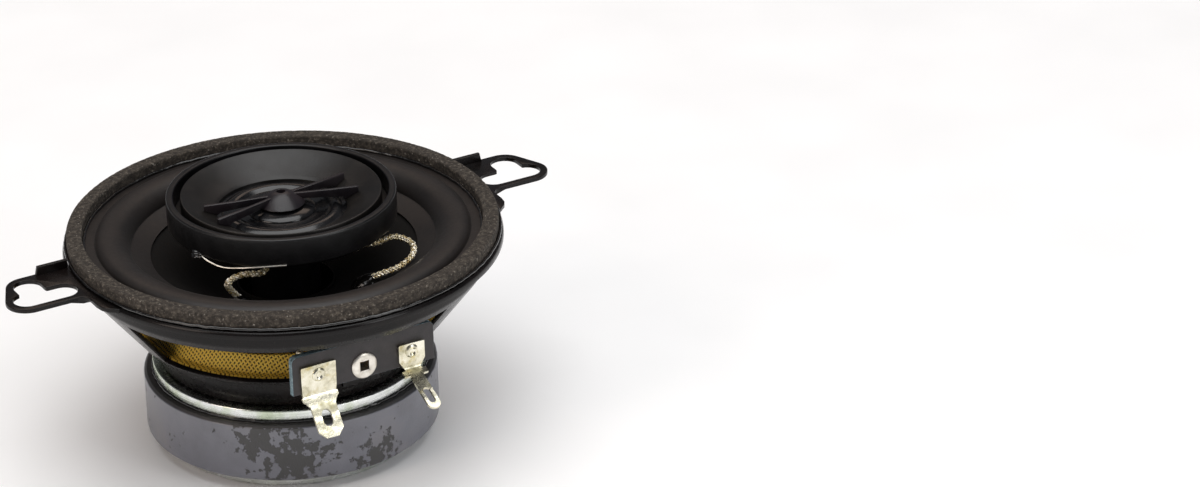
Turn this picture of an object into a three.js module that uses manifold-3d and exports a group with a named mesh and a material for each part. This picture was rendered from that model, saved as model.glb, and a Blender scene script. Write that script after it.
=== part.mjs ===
// A 3.5 inch coaxial car speaker: a stamped basket with two slotted mounting tabs, a ferrite motor,
// a paper cone on a rubber surround, and a small dome tweeter on a post through the voice coil.
// Millimetres. +Z points to the listener, z = 0 is the back plate's rear face, the axis is x = y = 0.
// The mounting tabs lie along X and the terminals face -Y.
import * as THREE from "three";
import { mergeVertices } from "three/addons/utils/BufferGeometryUtils.js";
import Module from "manifold-3d";

const wasm = await Module();
wasm.setup();

// ---------------------------------------------------------------- driving dimensions

// Motor
const BACK_PLATE_R = 26;
const BACK_PLATE_T = 3;
const MAGNET_R = 30;
const MAGNET_T = 12.5;
const MAGNET_BORE_CLEARANCE = 2; // round the voice coil's winding
const TOP_PLATE_R = 28.1;
const TOP_PLATE_T = 2.5;
const POLE_R = 9.4;
const COIL_GAP = 0.3; // pole to former, and winding to top plate

// Voice coil
const FORMER_WALL = 0.2;
const WINDING_T = 0.5;
const WINDING_LENGTH = 8;
const FORMER_BELOW_WINDING = 0.5;

// Basket
const SHEET_T = 0.9;
const BASKET_DEPTH = 25.8; // front of the top plate to the front of the flange
const FLANGE_R = 44.5;
const FLANGE_W = 3.2; // flange edge in to the upright band
const FLANGE_LIP = 1.6; // how far the flange's edge is turned down
const BAND_HEIGHT = 5; // upright band under the flange
const BASKET_FLOOR_R = 26.5;
const BASKET_FLOOR_BORE_R = 15;
const LEDGE_BELOW_FLANGE = 17.7; // front of the flange down to the ledge that carries the spider
const LEDGE_INNER_R = 28.6;
const LEDGE_OUTER_R = 31.2;
const LEG_COUNT = 3;
const LEG_HALF_ANGLE = 9; // degrees
const FIRST_LEG_ANGLE = 275; // degrees from -Y towards +X
const WINDOW_TOP_MARGIN = 0.4; // under the bend into the band

// Mounting tabs
const SLOT_FROM_FLANGE = 1;
const SLOT_LENGTH = 13.4;
const SLOT_WIDTH = 5.9;
const CROSS_SLOT_ALONG = 8.2; // slot's inner end to the cross slot's centre line
const CROSS_SLOT_WIDTH = 5.7;
const CROSS_SLOT_REACH = 8.2; // from the tab's centre line to the cross slot's end
const TAB_RIM = 1.5;
const TAB_FOLD_HEIGHT = 1.8;
const TAB_FOLD_IN = 1; // the fold starts this far inside the flange's edge
const TAB_FOLD_LENGTH = 7;
const TAB_FOLD_SLANT = 0.6;
const TAB_LIP_DROP = 1.3;
const TAB_LIP_FROM_FLANGE = 1.3;
const TAB_LIP_LENGTH = 4.7;
const TAB_ROOT_FILLET = 2;
const SHOULDER_WIDTH = 0.8; // straight edge of the flange beside each tab, beyond the flange's circle
const SHOULDER_LENGTH = 13;

// Cone, surround, spider and gasket
const CONE_T = 0.6;
const CONE_DEPTH = 8.6112; // edge to neck, on the cone's front
const CONE_NECK_LENGTH = 1.3;
const CONE_EDGE_BELOW_FLANGE = 2.1;
const CONE_EDGE_GAP = 0.4; // cone's edge to the roll
const SURROUND_T = 0.5;
const SURROUND_BOND = 0.03; // glue between the cone and the surround's inner flat
const SURROUND_LAP = 3.55; // how far the surround's inner flat lies on the cone
const ROLL_WIDTH = 6.8;
const ROLL_HEIGHT = 2.2;
const ROLL_TO_GASKET = 2.6;
const GASKET_INSET = 0.9; // in from the flange's edge
const GASKET_W = 3.2;
const GASKET_T = 2.5;
const GASKET_ROUND = 0.8;
const SPIDER_T = 0.5;
const SPIDER_FLANK_IN = 1.2; // crest of the flank, inside the ledge
const SPIDER_RISE = 3.4;
const SPIDER_WAVES = 3;
const SPIDER_WAVE_HEIGHT = 1.1;

// Tweeter
const TWEETER_R = 23.2;
const TWEETER_WALL = 1.5;
const TWEETER_FLOOR_BELOW_FLANGE = 2.3;
const TWEETER_FLOOR_T = 2.2;
const TWEETER_FLOOR_R = 9;
const TWEETER_SIDE_FROM = 6.1; // above the floor's underside, where the funnel meets the side
const TWEETER_HEIGHT = 11.85;
const HORN_GROOVE = 1.4; // dark gap between the housing's lip and the horn
const HORN_THROAT_R = 13.2;
const HORN_DEPTH = 3.4;
const HORN_T = 0.8;
const THROAT_SEAT = 0.6; // throat's lip, from its edge down to the suspension
const SUSPENSION_T = 0.3;
const SUSPENSION_ROLL = 0.6;
const DOME_R = 6.9;
const DOME_HEIGHT = 1.4;
const TWEETER_COIL_T = 0.3;
const TWEETER_COIL_LENGTH = 2.6;
const TWEETER_GAP = 0.3;
const TWEETER_MAGNET_T = 2;
const TWEETER_POLE_T = 1.2;
const TWEETER_YOKE_WALL = 1.6;
const TWEETER_YOKE_FLOOR = 1.2;
const TWEETER_FRAME_T = 1.4;
const TWEETER_FRAME_R = 14.2;
const PLUG_R = 4.8;
const PLUG_T = 1;
const PLUG_HEIGHT = 2.5;
const PLUG_HOLE_R = 0.9;
const PLUG_BELOW_RIM = 0.15;
const BLADE_T = 0.8;
const BLADE_REACH_R = 15.8;
const BLADE_ANGLES = [-15, 11, 165, 191]; // degrees from +X
const BLADE_CLEARANCE = 0.5; // over the suspension's roll
const CAPACITOR_R = 1.5;
const CAPACITOR_LENGTH = 6.5;
const CAPACITOR_CLEARANCE = 0.22; // over the funnel
const CAPACITOR_FROM_EDGE = 6; // in from the housing's side

// Post, screw and rivets
const POST_R = 7;
const POST_FOOT_R = 8.8;
const POST_FOOT_T = 2;
const SCREW_R = 1.5;
const SCREW_HEAD_R = 2.8;
const SCREW_HEAD_T = 1.5;
const SCREW_CLEARANCE = 0.1;
const SCREW_BITE = 9; // how far the screw goes into the pole
const RIVET_COUNT = 4;
const RIVET_R = 1.4;
const RIVET_HEAD_R = 2.3;
const RIVET_HEAD_T = 0.8;
const RIVET_CIRCLE_R = 20.5;
const RIVET_BITE = 1.6;

// Terminals
const BOARD_WIDTH = 31.2;
const BOARD_HEIGHT = 8.3;
const BOARD_T = 1.5;
const BOARD_CENTRE_X = -1.2;
const BOARD_FACE_Y = -36.8;
const BOARD_BOTTOM_ABOVE_LEDGE = 1;
const BOARD_CORNER_R = 1.2;
const EAR_WIDTH = 8;
const EAR_HEIGHT = 6.6;
const EYELET_R = 1.5;
const EYELET_FLANGE_R = 2.75;
const EYELET_FLANGE_T = 0.5;
const EYELET_HOLE = 2; // square hole, across its flats
const EYELET_HEIGHT = 2.7; // above the board's lower edge
const LUG_T = 0.6;
const LUG_BEND_DROP = 0.4; // the lug's bend, below the board's lower edge
const LUG_RIVET_R = 0.9;
const LUG_RIVET_RAISED = 0.8; // above the middle of the lug's body
const LUG_RIVET_HEAD_R = 1.5;
const WIDE_LUG = {
  x: -10.2, tilt: 37,
  bodyWidth: 7.6, bodyHeight: 5.9, taperHeight: 0.6, neckWidth: 7.2,
  earWidth: 7.7, earFrom: 0.7, earTo: 1.7, earSlope: 1.2,
  bladeWidth: 5.4, bladeLength: 9.6, tipCut: 1.5,
  holeWidth: 2.2, holeFrom: 3.9, holeTo: 7.3,
};
const NARROW_LUG = {
  x: 10.35, tilt: 66,
  bodyWidth: 5.7, bodyHeight: 5, taperHeight: 1.3, neckWidth: 3.6,
  earWidth: 5.4, earFrom: 1.2, earTo: 2.6, earSlope: 0.2,
  bladeWidth: 2.8, bladeLength: 11.5, tipCut: 0.8,
  holeWidth: 1.4, holeFrom: 6.2, holeTo: 10.2,
};

// Wiring
const LEAD_R = 0.55;
const LEAD_SIDES = 8;
const LEAD_HOLE_CLEARANCE = 0.45;
const LEAD_PASSING_GAP = 0.35; // lead to the surround's inner flat
const GLUE_DAB_R = 2.3;
const GLUE_DAB_HEIGHT = 1.1;
const GLUE_DAB_CLEARANCE = 0.05;

const ROUND = 32; // sides of every piece turned about the axis, so that nested pieces stay parallel
const SMALL_ROUND = 16;
const REACH = 200; // length of a cutting tool that passes right through

// ---------------------------------------------------------------- derived stations

const radians = (degrees) => (degrees * Math.PI) / 180;

const MAGNET_Z = BACK_PLATE_T;
const TOP_PLATE_Z = MAGNET_Z + MAGNET_T;
const BASKET_Z = TOP_PLATE_Z + TOP_PLATE_T;
const FLANGE_Z = BASKET_Z + BASKET_DEPTH; // front face of the flange and tabs
const LEDGE_HEIGHT = BASKET_DEPTH - LEDGE_BELOW_FLANGE; // from the floor's underside
const LEDGE_Z = BASKET_Z + LEDGE_HEIGHT + SHEET_T / 2; // front face of the spider's ledge
const BAND_R = FLANGE_R - FLANGE_W; // middle of the band's sheet
const BAND_BOTTOM_Z = FLANGE_Z - BAND_HEIGHT;
const WINDOW_TOP_Z = BAND_BOTTOM_Z - SHEET_T - WINDOW_TOP_MARGIN;

const FORMER_INNER_R = POLE_R + COIL_GAP;
const FORMER_R = FORMER_INNER_R + FORMER_WALL;
const WINDING_R = FORMER_R + WINDING_T;
const GAP_R = WINDING_R + COIL_GAP; // top plate's bore
const WINDING_Z = BASKET_Z - TOP_PLATE_T / 2 - WINDING_LENGTH / 2;
const FORMER_Z = WINDING_Z - FORMER_BELOW_WINDING;

const SLOT_INNER_R = FLANGE_R + SLOT_FROM_FLANGE;
const SLOT_OUTER_R = SLOT_INNER_R + SLOT_LENGTH;
const CROSS_SLOT_R = SLOT_INNER_R + CROSS_SLOT_ALONG;
const SHOULDER_R = FLANGE_R + SHOULDER_WIDTH;

const GASKET_OUTER_R = FLANGE_R - GASKET_INSET;
const GASKET_INNER_R = GASKET_OUTER_R - GASKET_W;
const ROLL_OUTER_R = GASKET_INNER_R - ROLL_TO_GASKET;
const ROLL_INNER_R = ROLL_OUTER_R - ROLL_WIDTH;
const SURROUND_Z = FLANGE_Z; // underside of the surround's outer flat
const GASKET_Z = SURROUND_Z + SURROUND_T;
const CONE_EDGE_R = ROLL_INNER_R - CONE_EDGE_GAP;
const CONE_EDGE_Z = FLANGE_Z - CONE_EDGE_BELOW_FLANGE; // front face of the cone at its edge
const CONE_SLOPE = CONE_DEPTH / (CONE_EDGE_R - FORMER_R); // rise over run
const SURROUND_INNER_R = CONE_EDGE_R - SURROUND_LAP;
const coneFrontZ = (r) => CONE_EDGE_Z - (CONE_EDGE_R - r) * CONE_SLOPE;
const CONE_NECK_Z = coneFrontZ(FORMER_R) - CONE_T;

const TWEETER_FLOOR_Z = FLANGE_Z - TWEETER_FLOOR_BELOW_FLANGE;
const TWEETER_RIM_Z = TWEETER_FLOOR_Z + TWEETER_HEIGHT;
const HORN_R = TWEETER_R - TWEETER_WALL - HORN_GROOVE;
const HORN_RIM_Z = TWEETER_RIM_Z - PLUG_BELOW_RIM;
const THROAT_Z = HORN_RIM_Z - HORN_DEPTH;
const SUSPENSION_Z = THROAT_Z - THROAT_SEAT; // front of the clamped flat
const hornFrontZ = (r) => THROAT_Z + ((r - HORN_THROAT_R) / (HORN_R - HORN_THROAT_R)) * HORN_DEPTH;
const TWEETER_FRAME_Z = SUSPENSION_Z - SUSPENSION_T - TWEETER_FRAME_T;
const TWEETER_YOKE_Z = TWEETER_FLOOR_Z + TWEETER_FLOOR_T;
const TWEETER_COIL_INNER_R = DOME_R - TWEETER_COIL_T;
const TWEETER_POLE_R = TWEETER_COIL_INNER_R - TWEETER_GAP;
const TWEETER_YOKE_INNER_R = DOME_R + TWEETER_GAP;
const TWEETER_YOKE_R = TWEETER_YOKE_INNER_R + TWEETER_YOKE_WALL;
const FUNNEL_FOOT_R = TWEETER_YOKE_R + 0.4; // inside of the funnel, where it leaves the floor
const FUNNEL_SLOPE = (TWEETER_SIDE_FROM + TWEETER_WALL * 0.7 - TWEETER_FLOOR_T)
  / (TWEETER_R - TWEETER_WALL - FUNNEL_FOOT_R);

const SPIDER_FLANK_R = LEDGE_INNER_R - SPIDER_FLANK_IN;

const BOARD_BACK_Y = BOARD_FACE_Y + BOARD_T;
const BOARD_BOTTOM_Z = LEDGE_Z + BOARD_BOTTOM_ABOVE_LEDGE;
const EYELET_Z = BOARD_BOTTOM_Z + EYELET_HEIGHT;

// A direction in the XY plane, its angle in degrees from -Y towards +X.
function fromFront(angle) {
  return [Math.sin(radians(angle)), -Math.cos(radians(angle))];
}

// A point at an angle from the front and a distance from the axis.
function polar(angle, r, z) {
  const [x, y] = fromFront(angle);
  return [x * r, y * r, z];
}

// The voice coil's front leads leave the tweeter's housing, arch forward over the gap between
// the housing and the roll, and land on the cone under the housing's edge.
const besideTweeter = (angle, out, up) => polar(angle, TWEETER_R + out, TWEETER_FLOOR_Z + up);
const gapR = (share) => TWEETER_R + share * (ROLL_INNER_R - 2 * LEAD_R - TWEETER_R);
const overConeGap = (angle, share, up) => polar(angle, gapR(share), TWEETER_FLOOR_Z + up);
const onCone = (angle, r, up) => polar(angle, r, coneFrontZ(r) + up);
const OVER_SURROUND = SURROUND_T + LEAD_R + LEAD_PASSING_GAP; // lead's middle over the cone
const FRONT_LEAD_RIGHT = [
  besideTweeter(39.8, -6, 5.6),
  besideTweeter(39.8, -6, 2.7),
  besideTweeter(41.7, -3.4, 2.7),
  besideTweeter(50.3, -0.3, 2.9),
  overConeGap(48.7, 0.512, 2.1),
  overConeGap(42.2, 0.687, 1.1),
  onCone(34.5, gapR(0.478), OVER_SURROUND),
  onCone(29.4, gapR(0.06), OVER_SURROUND),
  onCone(28.4, TWEETER_R - 3.2, 0.8),
];
const FRONT_LEAD_LEFT = [
  besideTweeter(-37.7, -6, 5.6),
  besideTweeter(-37.7, -6, 2.7),
  besideTweeter(-40.2, -3.7, 2.8),
  besideTweeter(-47.3, -1.9, 3.2),
  besideTweeter(-52.7, -0.6, 2.5),
  besideTweeter(-55.4, -0.5, 1.1),
  onCone(-56.1, TWEETER_R - 1.9, 2.9),
  onCone(-55.1, TWEETER_R - 4.7, 0.9),
];
// The rear leads run from the lugs' rivets to the back of the cone.
const LEAD_ABOVE_RIVET = 0.15;
const behindRivet = (lug, back) => [
  BOARD_CENTRE_X + lug.x,
  BOARD_BACK_Y + back,
  BOARD_BOTTOM_Z + lug.bodyHeight / 2 + LUG_RIVET_RAISED + LEAD_ABOVE_RIVET,
];
const behindBoard = (x, back, above) => [x, BOARD_BACK_Y + back, BOARD_BOTTOM_Z + above];
const behindCone = (x, y, under) => [x, y, coneFrontZ(Math.hypot(x, y)) - under];
const REAR_LEAD_RIGHT = [
  behindRivet(NARROW_LUG, 0.7),
  behindRivet(NARROW_LUG, 2.1),
  behindBoard(9.4, 6.3, 5.2),
  behindCone(8.6, -22, 5.1),
  behindCone(7.4, -15.4, 1.25),
];
const REAR_LEAD_LEFT = [
  behindRivet(WIDE_LUG, 0.7),
  behindRivet(WIDE_LUG, 2.1),
  behindBoard(-11.4, 7.3, 5.4),
  behindCone(-12, -20, 5.1),
  behindCone(-12.6, -12, 1.25),
];

// ---------------------------------------------------------------- shape helpers

// A ring or disc turned about Z. The profile is [radius, z] points, anticlockwise, radius to the right.
function turned(profile, sides = ROUND) {
  const points = profile.map(([r, z]) => new THREE.Vector2(r, z));
  const onAxis = profile[0][0] === 0 && profile[profile.length - 1][0] === 0;
  if (!onAxis) points.push(points[0].clone());
  return new THREE.LatheGeometry(points, sides).rotateX(Math.PI / 2);
}

function ring(innerR, outerR, z0, z1, sides = ROUND) {
  return turned([[innerR, z0], [outerR, z0], [outerR, z1], [innerR, z1]], sides);
}

function disc(r, z0, z1, sides = ROUND) {
  return turned([[0, z0], [r, z0], [r, z1], [0, z1]], sides);
}

// Profile of a sheet of even thickness whose middle line is the path, with mitred bends.
function sheetProfile(path, thickness) {
  const side = (sign) =>
    path.map(([r, z], i) => {
      const [beforeR, beforeZ] = path[Math.max(i - 1, 0)];
      const [afterR, afterZ] = path[Math.min(i + 1, path.length - 1)];
      const into = new THREE.Vector2(r - beforeR, z - beforeZ).normalize();
      const out = new THREE.Vector2(afterR - r, afterZ - z).normalize();
      const along = into.add(out).normalize();
      const last = i === 0 ? new THREE.Vector2(afterR - r, afterZ - z).normalize()
        : new THREE.Vector2(r - beforeR, z - beforeZ).normalize();
      const mitre = thickness / 2 / Math.abs(along.dot(last));
      return [r + sign * along.y * mitre, z - sign * along.x * mitre];
    });
  return [...side(1), ...side(-1).reverse()];
}

function box(x0, x1, y0, y1, z0, z1) {
  return new THREE.BoxGeometry(x1 - x0, y1 - y0, z1 - z0)
    .translate((x0 + x1) / 2, (y0 + y1) / 2, (z0 + z1) / 2);
}

// A flat outline in XY, extruded from z0 to z1.
function plate(shape, z0, z1, curveSegments = SMALL_ROUND / 2) {
  return new THREE.ExtrudeGeometry(shape, { depth: z1 - z0, bevelEnabled: false, curveSegments })
    .translate(0, 0, z0);
}

function solid(geometry) {
  const bare = geometry.clone();
  bare.deleteAttribute("normal");
  bare.deleteAttribute("uv");
  const merged = mergeVertices(bare, 1e-4);
  return new wasm.Manifold(new wasm.Mesh({
    numProp: 3,
    vertProperties: merged.attributes.position.array,
    triVerts: new Uint32Array(merged.index.array),
  }));
}

function geometryOf(manifold) {
  const { vertProperties, triVerts } = manifold.getMesh();
  const geometry = new THREE.BufferGeometry();
  geometry.setAttribute("position", new THREE.BufferAttribute(vertProperties, 3));
  geometry.setIndex(new THREE.BufferAttribute(triVerts, 1));
  geometry.computeVertexNormals();
  return geometry;
}

function joined(geometries) {
  return geometryOf(geometries.map(solid).reduce((a, b) => a.add(b)));
}

function cutFrom(geometry, tools) {
  return geometryOf(tools.map(solid).reduce((a, b) => a.subtract(b), solid(geometry)));
}

function roundWire(points, r) {
  const path = new THREE.CatmullRomCurve3(points.map((p) => new THREE.Vector3(...p)), false, "centripetal");
  const section = new THREE.Shape();
  for (let i = 0; i < LEAD_SIDES; i++) {
    const a = (2 * Math.PI * i) / LEAD_SIDES;
    section[i ? "lineTo" : "moveTo"](r * Math.cos(a), r * Math.sin(a));
  }
  const steps = Math.round(path.getLength() / (4 * r));
  return new THREE.ExtrudeGeometry(section, { extrudePath: path, steps, bevelEnabled: false });
}

const material = (color, roughness, metalness) =>
  new THREE.MeshStandardMaterial({ color, roughness, metalness });

function mesh(name, geometry, look, group) {
  const made = new THREE.Mesh(geometry, look);
  made.name = name;
  group.add(made);
  return made;
}

// ---------------------------------------------------------------- motor

function yoke() {
  const boreR = SCREW_R + SCREW_CLEARANCE;
  return turned([
    [0, 0],
    [BACK_PLATE_R, 0],
    [BACK_PLATE_R, BACK_PLATE_T],
    [POLE_R, BACK_PLATE_T],
    [POLE_R, BASKET_Z],
    [boreR, BASKET_Z],
    [boreR, BASKET_Z - SCREW_BITE - SCREW_CLEARANCE],
    [0, BASKET_Z - SCREW_BITE - SCREW_CLEARANCE],
  ]);
}

function magnetRing() {
  const chamfer = 0.6;
  return turned([
    [WINDING_R + MAGNET_BORE_CLEARANCE, 0],
    [MAGNET_R - chamfer, 0],
    [MAGNET_R, chamfer],
    [MAGNET_R, MAGNET_T - chamfer],
    [MAGNET_R - chamfer, MAGNET_T],
    [WINDING_R + MAGNET_BORE_CLEARANCE, MAGNET_T],
  ]);
}

// The places of the rivets that hold the basket's floor to the top plate, half way between the legs.
const rivetPlaces = Array.from({ length: RIVET_COUNT }, (_, i) => {
  const [x, y] = fromFront(45 + (360 * i) / RIVET_COUNT);
  return [x * RIVET_CIRCLE_R, y * RIVET_CIRCLE_R];
});

function rivetHoles(z0, z1) {
  return rivetPlaces.map(([x, y]) =>
    disc(RIVET_R + SCREW_CLEARANCE, z0, z1, SMALL_ROUND).translate(x, y, 0));
}

function topPlate() {
  const blank = ring(GAP_R, TOP_PLATE_R, 0, TOP_PLATE_T);
  return cutFrom(blank, rivetHoles(TOP_PLATE_T - RIVET_BITE - SCREW_CLEARANCE, REACH));
}

// Rivet with its shank's end at z = 0.
function rivet() {
  const shoulder = RIVET_BITE + SHEET_T;
  return turned([
    [0, 0],
    [RIVET_R, 0],
    [RIVET_R, shoulder],
    [RIVET_HEAD_R, shoulder],
    [RIVET_HEAD_R * 0.8, shoulder + RIVET_HEAD_T],
    [0, shoulder + RIVET_HEAD_T],
  ], SMALL_ROUND);
}

// ---------------------------------------------------------------- basket

// Middle line of the basket's sheet, from the floor's bore out to the lip; z = 0 is the floor's underside.
function basketPath() {
  const front = BASKET_DEPTH - SHEET_T / 2;
  const bend = SHEET_T;
  const lipR = FLANGE_R - SHEET_T / 2;
  return [
    [BASKET_FLOOR_BORE_R, SHEET_T / 2],
    [BASKET_FLOOR_R - SHEET_T, SHEET_T / 2],
    [BASKET_FLOOR_R, SHEET_T * 1.4],
    [LEDGE_INNER_R, LEDGE_HEIGHT],
    [LEDGE_OUTER_R, LEDGE_HEIGHT],
    [BAND_R - bend, BASKET_DEPTH - BAND_HEIGHT - bend],
    [BAND_R, BASKET_DEPTH - BAND_HEIGHT],
    [BAND_R, front - bend],
    [BAND_R + bend, front],
    [lipR, front],
    [lipR, BASKET_DEPTH - FLANGE_LIP],
  ];
}

// One window between two legs: a sector prism. The angles are degrees from -Y towards +X.
function windowTool(fromAngle, toAngle) {
  const sector = new THREE.Shape();
  const steps = 6;
  sector.moveTo(0, 0);
  for (let i = 0; i <= steps; i++) {
    const [x, y] = fromFront(fromAngle + ((toAngle - fromAngle) * i) / steps);
    sector.lineTo(x * FLANGE_R * 2, y * FLANGE_R * 2);
  }
  return plate(sector, LEDGE_Z - BASKET_Z, WINDOW_TOP_Z - BASKET_Z);
}

function windowTools() {
  const pitch = 360 / LEG_COUNT;
  return Array.from({ length: LEG_COUNT }, (_, i) => {
    const leg = FIRST_LEG_ANGLE + i * pitch;
    return windowTool(leg + LEG_HALF_ANGLE, leg + pitch - LEG_HALF_ANGLE);
  });
}

const tabTipCentre = [SLOT_OUTER_R - SLOT_WIDTH / 2, 0];
const tabTipR = SLOT_WIDTH / 2 + TAB_RIM;
const crossEndCentre = [CROSS_SLOT_R, CROSS_SLOT_REACH - CROSS_SLOT_WIDTH / 2];
const crossEndR = CROSS_SLOT_WIDTH / 2 + TAB_RIM;
const tabTopY = crossEndCentre[1] + crossEndR;

// Outline of the +X tab with the straight shoulder beside it.
function tabOutline() {
  const rootX = BAND_R + SHEET_T;
  const dx = crossEndCentre[0] - tabTipCentre[0];
  const dy = crossEndCentre[1] - tabTipCentre[1];
  const tangent = Math.atan2(dy, dx) - Math.acos((tabTipR - crossEndR) / Math.hypot(dx, dy));
  const fillet = TAB_ROOT_FILLET;
  const outline = new THREE.Shape();
  outline.moveTo(rootX, -SHOULDER_LENGTH);
  outline.lineTo(SHOULDER_R, -SHOULDER_LENGTH);
  outline.lineTo(SHOULDER_R, -tabTipR - fillet);
  outline.absarc(SHOULDER_R + fillet, -tabTipR - fillet, fillet, Math.PI, Math.PI / 2, true);
  outline.absarc(...tabTipCentre, tabTipR, -Math.PI / 2, tangent, false);
  outline.absarc(...crossEndCentre, crossEndR, tangent, Math.PI / 2, false);
  outline.lineTo(rootX, tabTopY);
  return outline;
}

// A slot with round ends between two points.
function slotOutline(ax, ay, bx, by, width) {
  const angle = Math.atan2(by - ay, bx - ax);
  const outline = new THREE.Shape();
  outline.absarc(bx, by, width / 2, angle - Math.PI / 2, angle + Math.PI / 2, false);
  outline.absarc(ax, ay, width / 2, angle + Math.PI / 2, angle + (3 * Math.PI) / 2, false);
  return outline;
}

// The +X tab: its plate, the fold that stiffens its +Y edge and the short lip under its -Y edge.
function tabSolid() {
  const top = BASKET_DEPTH;
  const bottom = top - SHEET_T;
  const fold = new THREE.Shape();
  const foldFrom = FLANGE_R - TAB_FOLD_IN;
  const foldTo = foldFrom + TAB_FOLD_LENGTH;
  fold.moveTo(foldFrom, 0);
  fold.lineTo(foldTo, 0);
  fold.lineTo(foldTo - TAB_FOLD_SLANT, SHEET_T + TAB_FOLD_HEIGHT);
  fold.lineTo(foldFrom, SHEET_T + TAB_FOLD_HEIGHT);
  const foldGeometry = plate(fold, 0, SHEET_T).rotateX(Math.PI / 2).translate(0, tabTopY, bottom);
  const lipFrom = FLANGE_R + TAB_LIP_FROM_FLANGE;
  const lipTo = lipFrom + TAB_LIP_LENGTH;
  const lip = box(lipFrom, lipTo, -tabTipR, -tabTipR + SHEET_T, bottom - TAB_LIP_DROP, top);
  const blank = [plate(tabOutline(), bottom, top), foldGeometry, lip].map(solid)
    .reduce((a, b) => a.add(b));
  const through = [-REACH, REACH];
  const slot = plate(
    slotOutline(SLOT_INNER_R + SLOT_WIDTH / 2, 0, ...tabTipCentre, SLOT_WIDTH), ...through);
  const cross = plate(
    slotOutline(CROSS_SLOT_R, 0, ...crossEndCentre, CROSS_SLOT_WIDTH), ...through);
  return blank.subtract(solid(slot)).subtract(solid(cross));
}

// The ear that stands up from the ledge's edge behind the terminal board; z = 0 is the floor's underside.
function terminalEar() {
  const backY = BOARD_BACK_Y + SHEET_T;
  const x0 = BOARD_CENTRE_X - EAR_WIDTH / 2;
  const x1 = BOARD_CENTRE_X + EAR_WIDTH / 2;
  const under = LEDGE_HEIGHT - SHEET_T / 2;
  const foot = box(x0, x1, BOARD_BACK_Y, -LEDGE_INNER_R - SHEET_T, under, under + SHEET_T);
  const upright = box(x0, x1, BOARD_BACK_Y, backY, under, under + EAR_HEIGHT);
  return joined([foot, upright]);
}

// A square-ended hole along Y at the eyelet's place, in the group whose z = 0 is at originZ.
function eyeletHole(r, originZ) {
  return disc(r, -REACH, REACH, SMALL_ROUND)
    .rotateX(Math.PI / 2)
    .translate(BOARD_CENTRE_X, 0, EYELET_Z - originZ);
}

function basket() {
  const shell = turned(sheetProfile(basketPath(), SHEET_T));
  const windowed = windowTools().map(solid).reduce((a, b) => a.subtract(b), solid(shell));
  const right = tabSolid();
  const left = right.mirror([1, 0, 0]);
  const ear = solid(terminalEar()).subtract(
    solid(eyeletHole(EYELET_R + SCREW_CLEARANCE, BASKET_Z)).intersect(
      solid(box(-REACH, REACH, BOARD_FACE_Y, BOARD_BACK_Y + 2 * SHEET_T, -REACH, REACH))));
  const holes = rivetHoles(-REACH, REACH).map(solid);
  const whole = windowed.add(right).add(left).add(ear);
  return geometryOf(holes.reduce((a, b) => a.subtract(b), whole));
}

function gasket() {
  return turned([
    [GASKET_INNER_R, 0],
    [GASKET_OUTER_R, 0],
    [GASKET_OUTER_R, GASKET_T - GASKET_ROUND],
    [GASKET_OUTER_R - GASKET_ROUND * 0.3, GASKET_T - GASKET_ROUND * 0.3],
    [GASKET_OUTER_R - GASKET_ROUND, GASKET_T],
    [GASKET_INNER_R + GASKET_ROUND, GASKET_T],
    [GASKET_INNER_R, GASKET_T - GASKET_ROUND],
  ]);
}

// ---------------------------------------------------------------- moving assembly

function cone() {
  const wall = CONE_T / Math.cos(Math.atan(CONE_SLOPE)); // measured along Z
  return turned([
    [FORMER_R, CONE_NECK_Z - CONE_NECK_LENGTH],
    [FORMER_R + CONE_T, CONE_NECK_Z - CONE_NECK_LENGTH],
    [FORMER_R + CONE_T, coneFrontZ(FORMER_R + CONE_T) - wall],
    [CONE_EDGE_R, CONE_EDGE_Z - wall],
    [CONE_EDGE_R, CONE_EDGE_Z],
    [FORMER_R, coneFrontZ(FORMER_R)],
  ]);
}

// The surround's inner flat lies on the cone's front, its outer flat on the flange.
function surround() {
  const rollSteps = 6;
  const flatMiddle = SURROUND_Z + SURROUND_T / 2;
  const bondedT = SURROUND_T / 2 + SURROUND_BOND;
  const middleOnCone = (r) => coneFrontZ(r) + bondedT / Math.cos(Math.atan(CONE_SLOPE));
  const innerFootZ = middleOnCone(ROLL_INNER_R);
  const roll = Array.from({ length: rollSteps + 1 }, (_, i) => {
    const share = i / rollSteps;
    const r = (ROLL_INNER_R + ROLL_OUTER_R) / 2 - (Math.cos(Math.PI * share) * ROLL_WIDTH) / 2;
    return [r, innerFootZ + (flatMiddle - innerFootZ) * share + ROLL_HEIGHT * Math.sin(Math.PI * share)];
  });
  const path = [
    [SURROUND_INNER_R, middleOnCone(SURROUND_INNER_R)],
    ...roll,
    [GASKET_OUTER_R - SURROUND_T, flatMiddle],
  ];
  return turned(sheetProfile(path, SURROUND_T));
}

// The spider: a flat landing on the basket's ledge, a steep flank, then waves in to the former.
function spider() {
  const landing = LEDGE_Z + SPIDER_T / 2;
  const crest = landing + SPIDER_RISE;
  const innerR = FORMER_R + 0.6;
  const waves = [];
  for (let i = 0; i < SPIDER_WAVES * 2; i++) {
    const share = (i + 1) / (SPIDER_WAVES * 2 + 1);
    const r = SPIDER_FLANK_R + (innerR - SPIDER_FLANK_R) * share;
    waves.push([r, crest - (i % 2 ? 0 : 2 * SPIDER_WAVE_HEIGHT)]);
  }
  const path = [
    [LEDGE_OUTER_R - SHEET_T / 2, landing],
    [LEDGE_INNER_R + SHEET_T * 0.6, landing],
    [SPIDER_FLANK_R, crest],
    ...waves,
    [innerR, crest - SPIDER_WAVE_HEIGHT],
    [FORMER_R, crest - SPIDER_WAVE_HEIGHT],
  ].reverse();
  return turned(sheetProfile(path, SPIDER_T));
}

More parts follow.
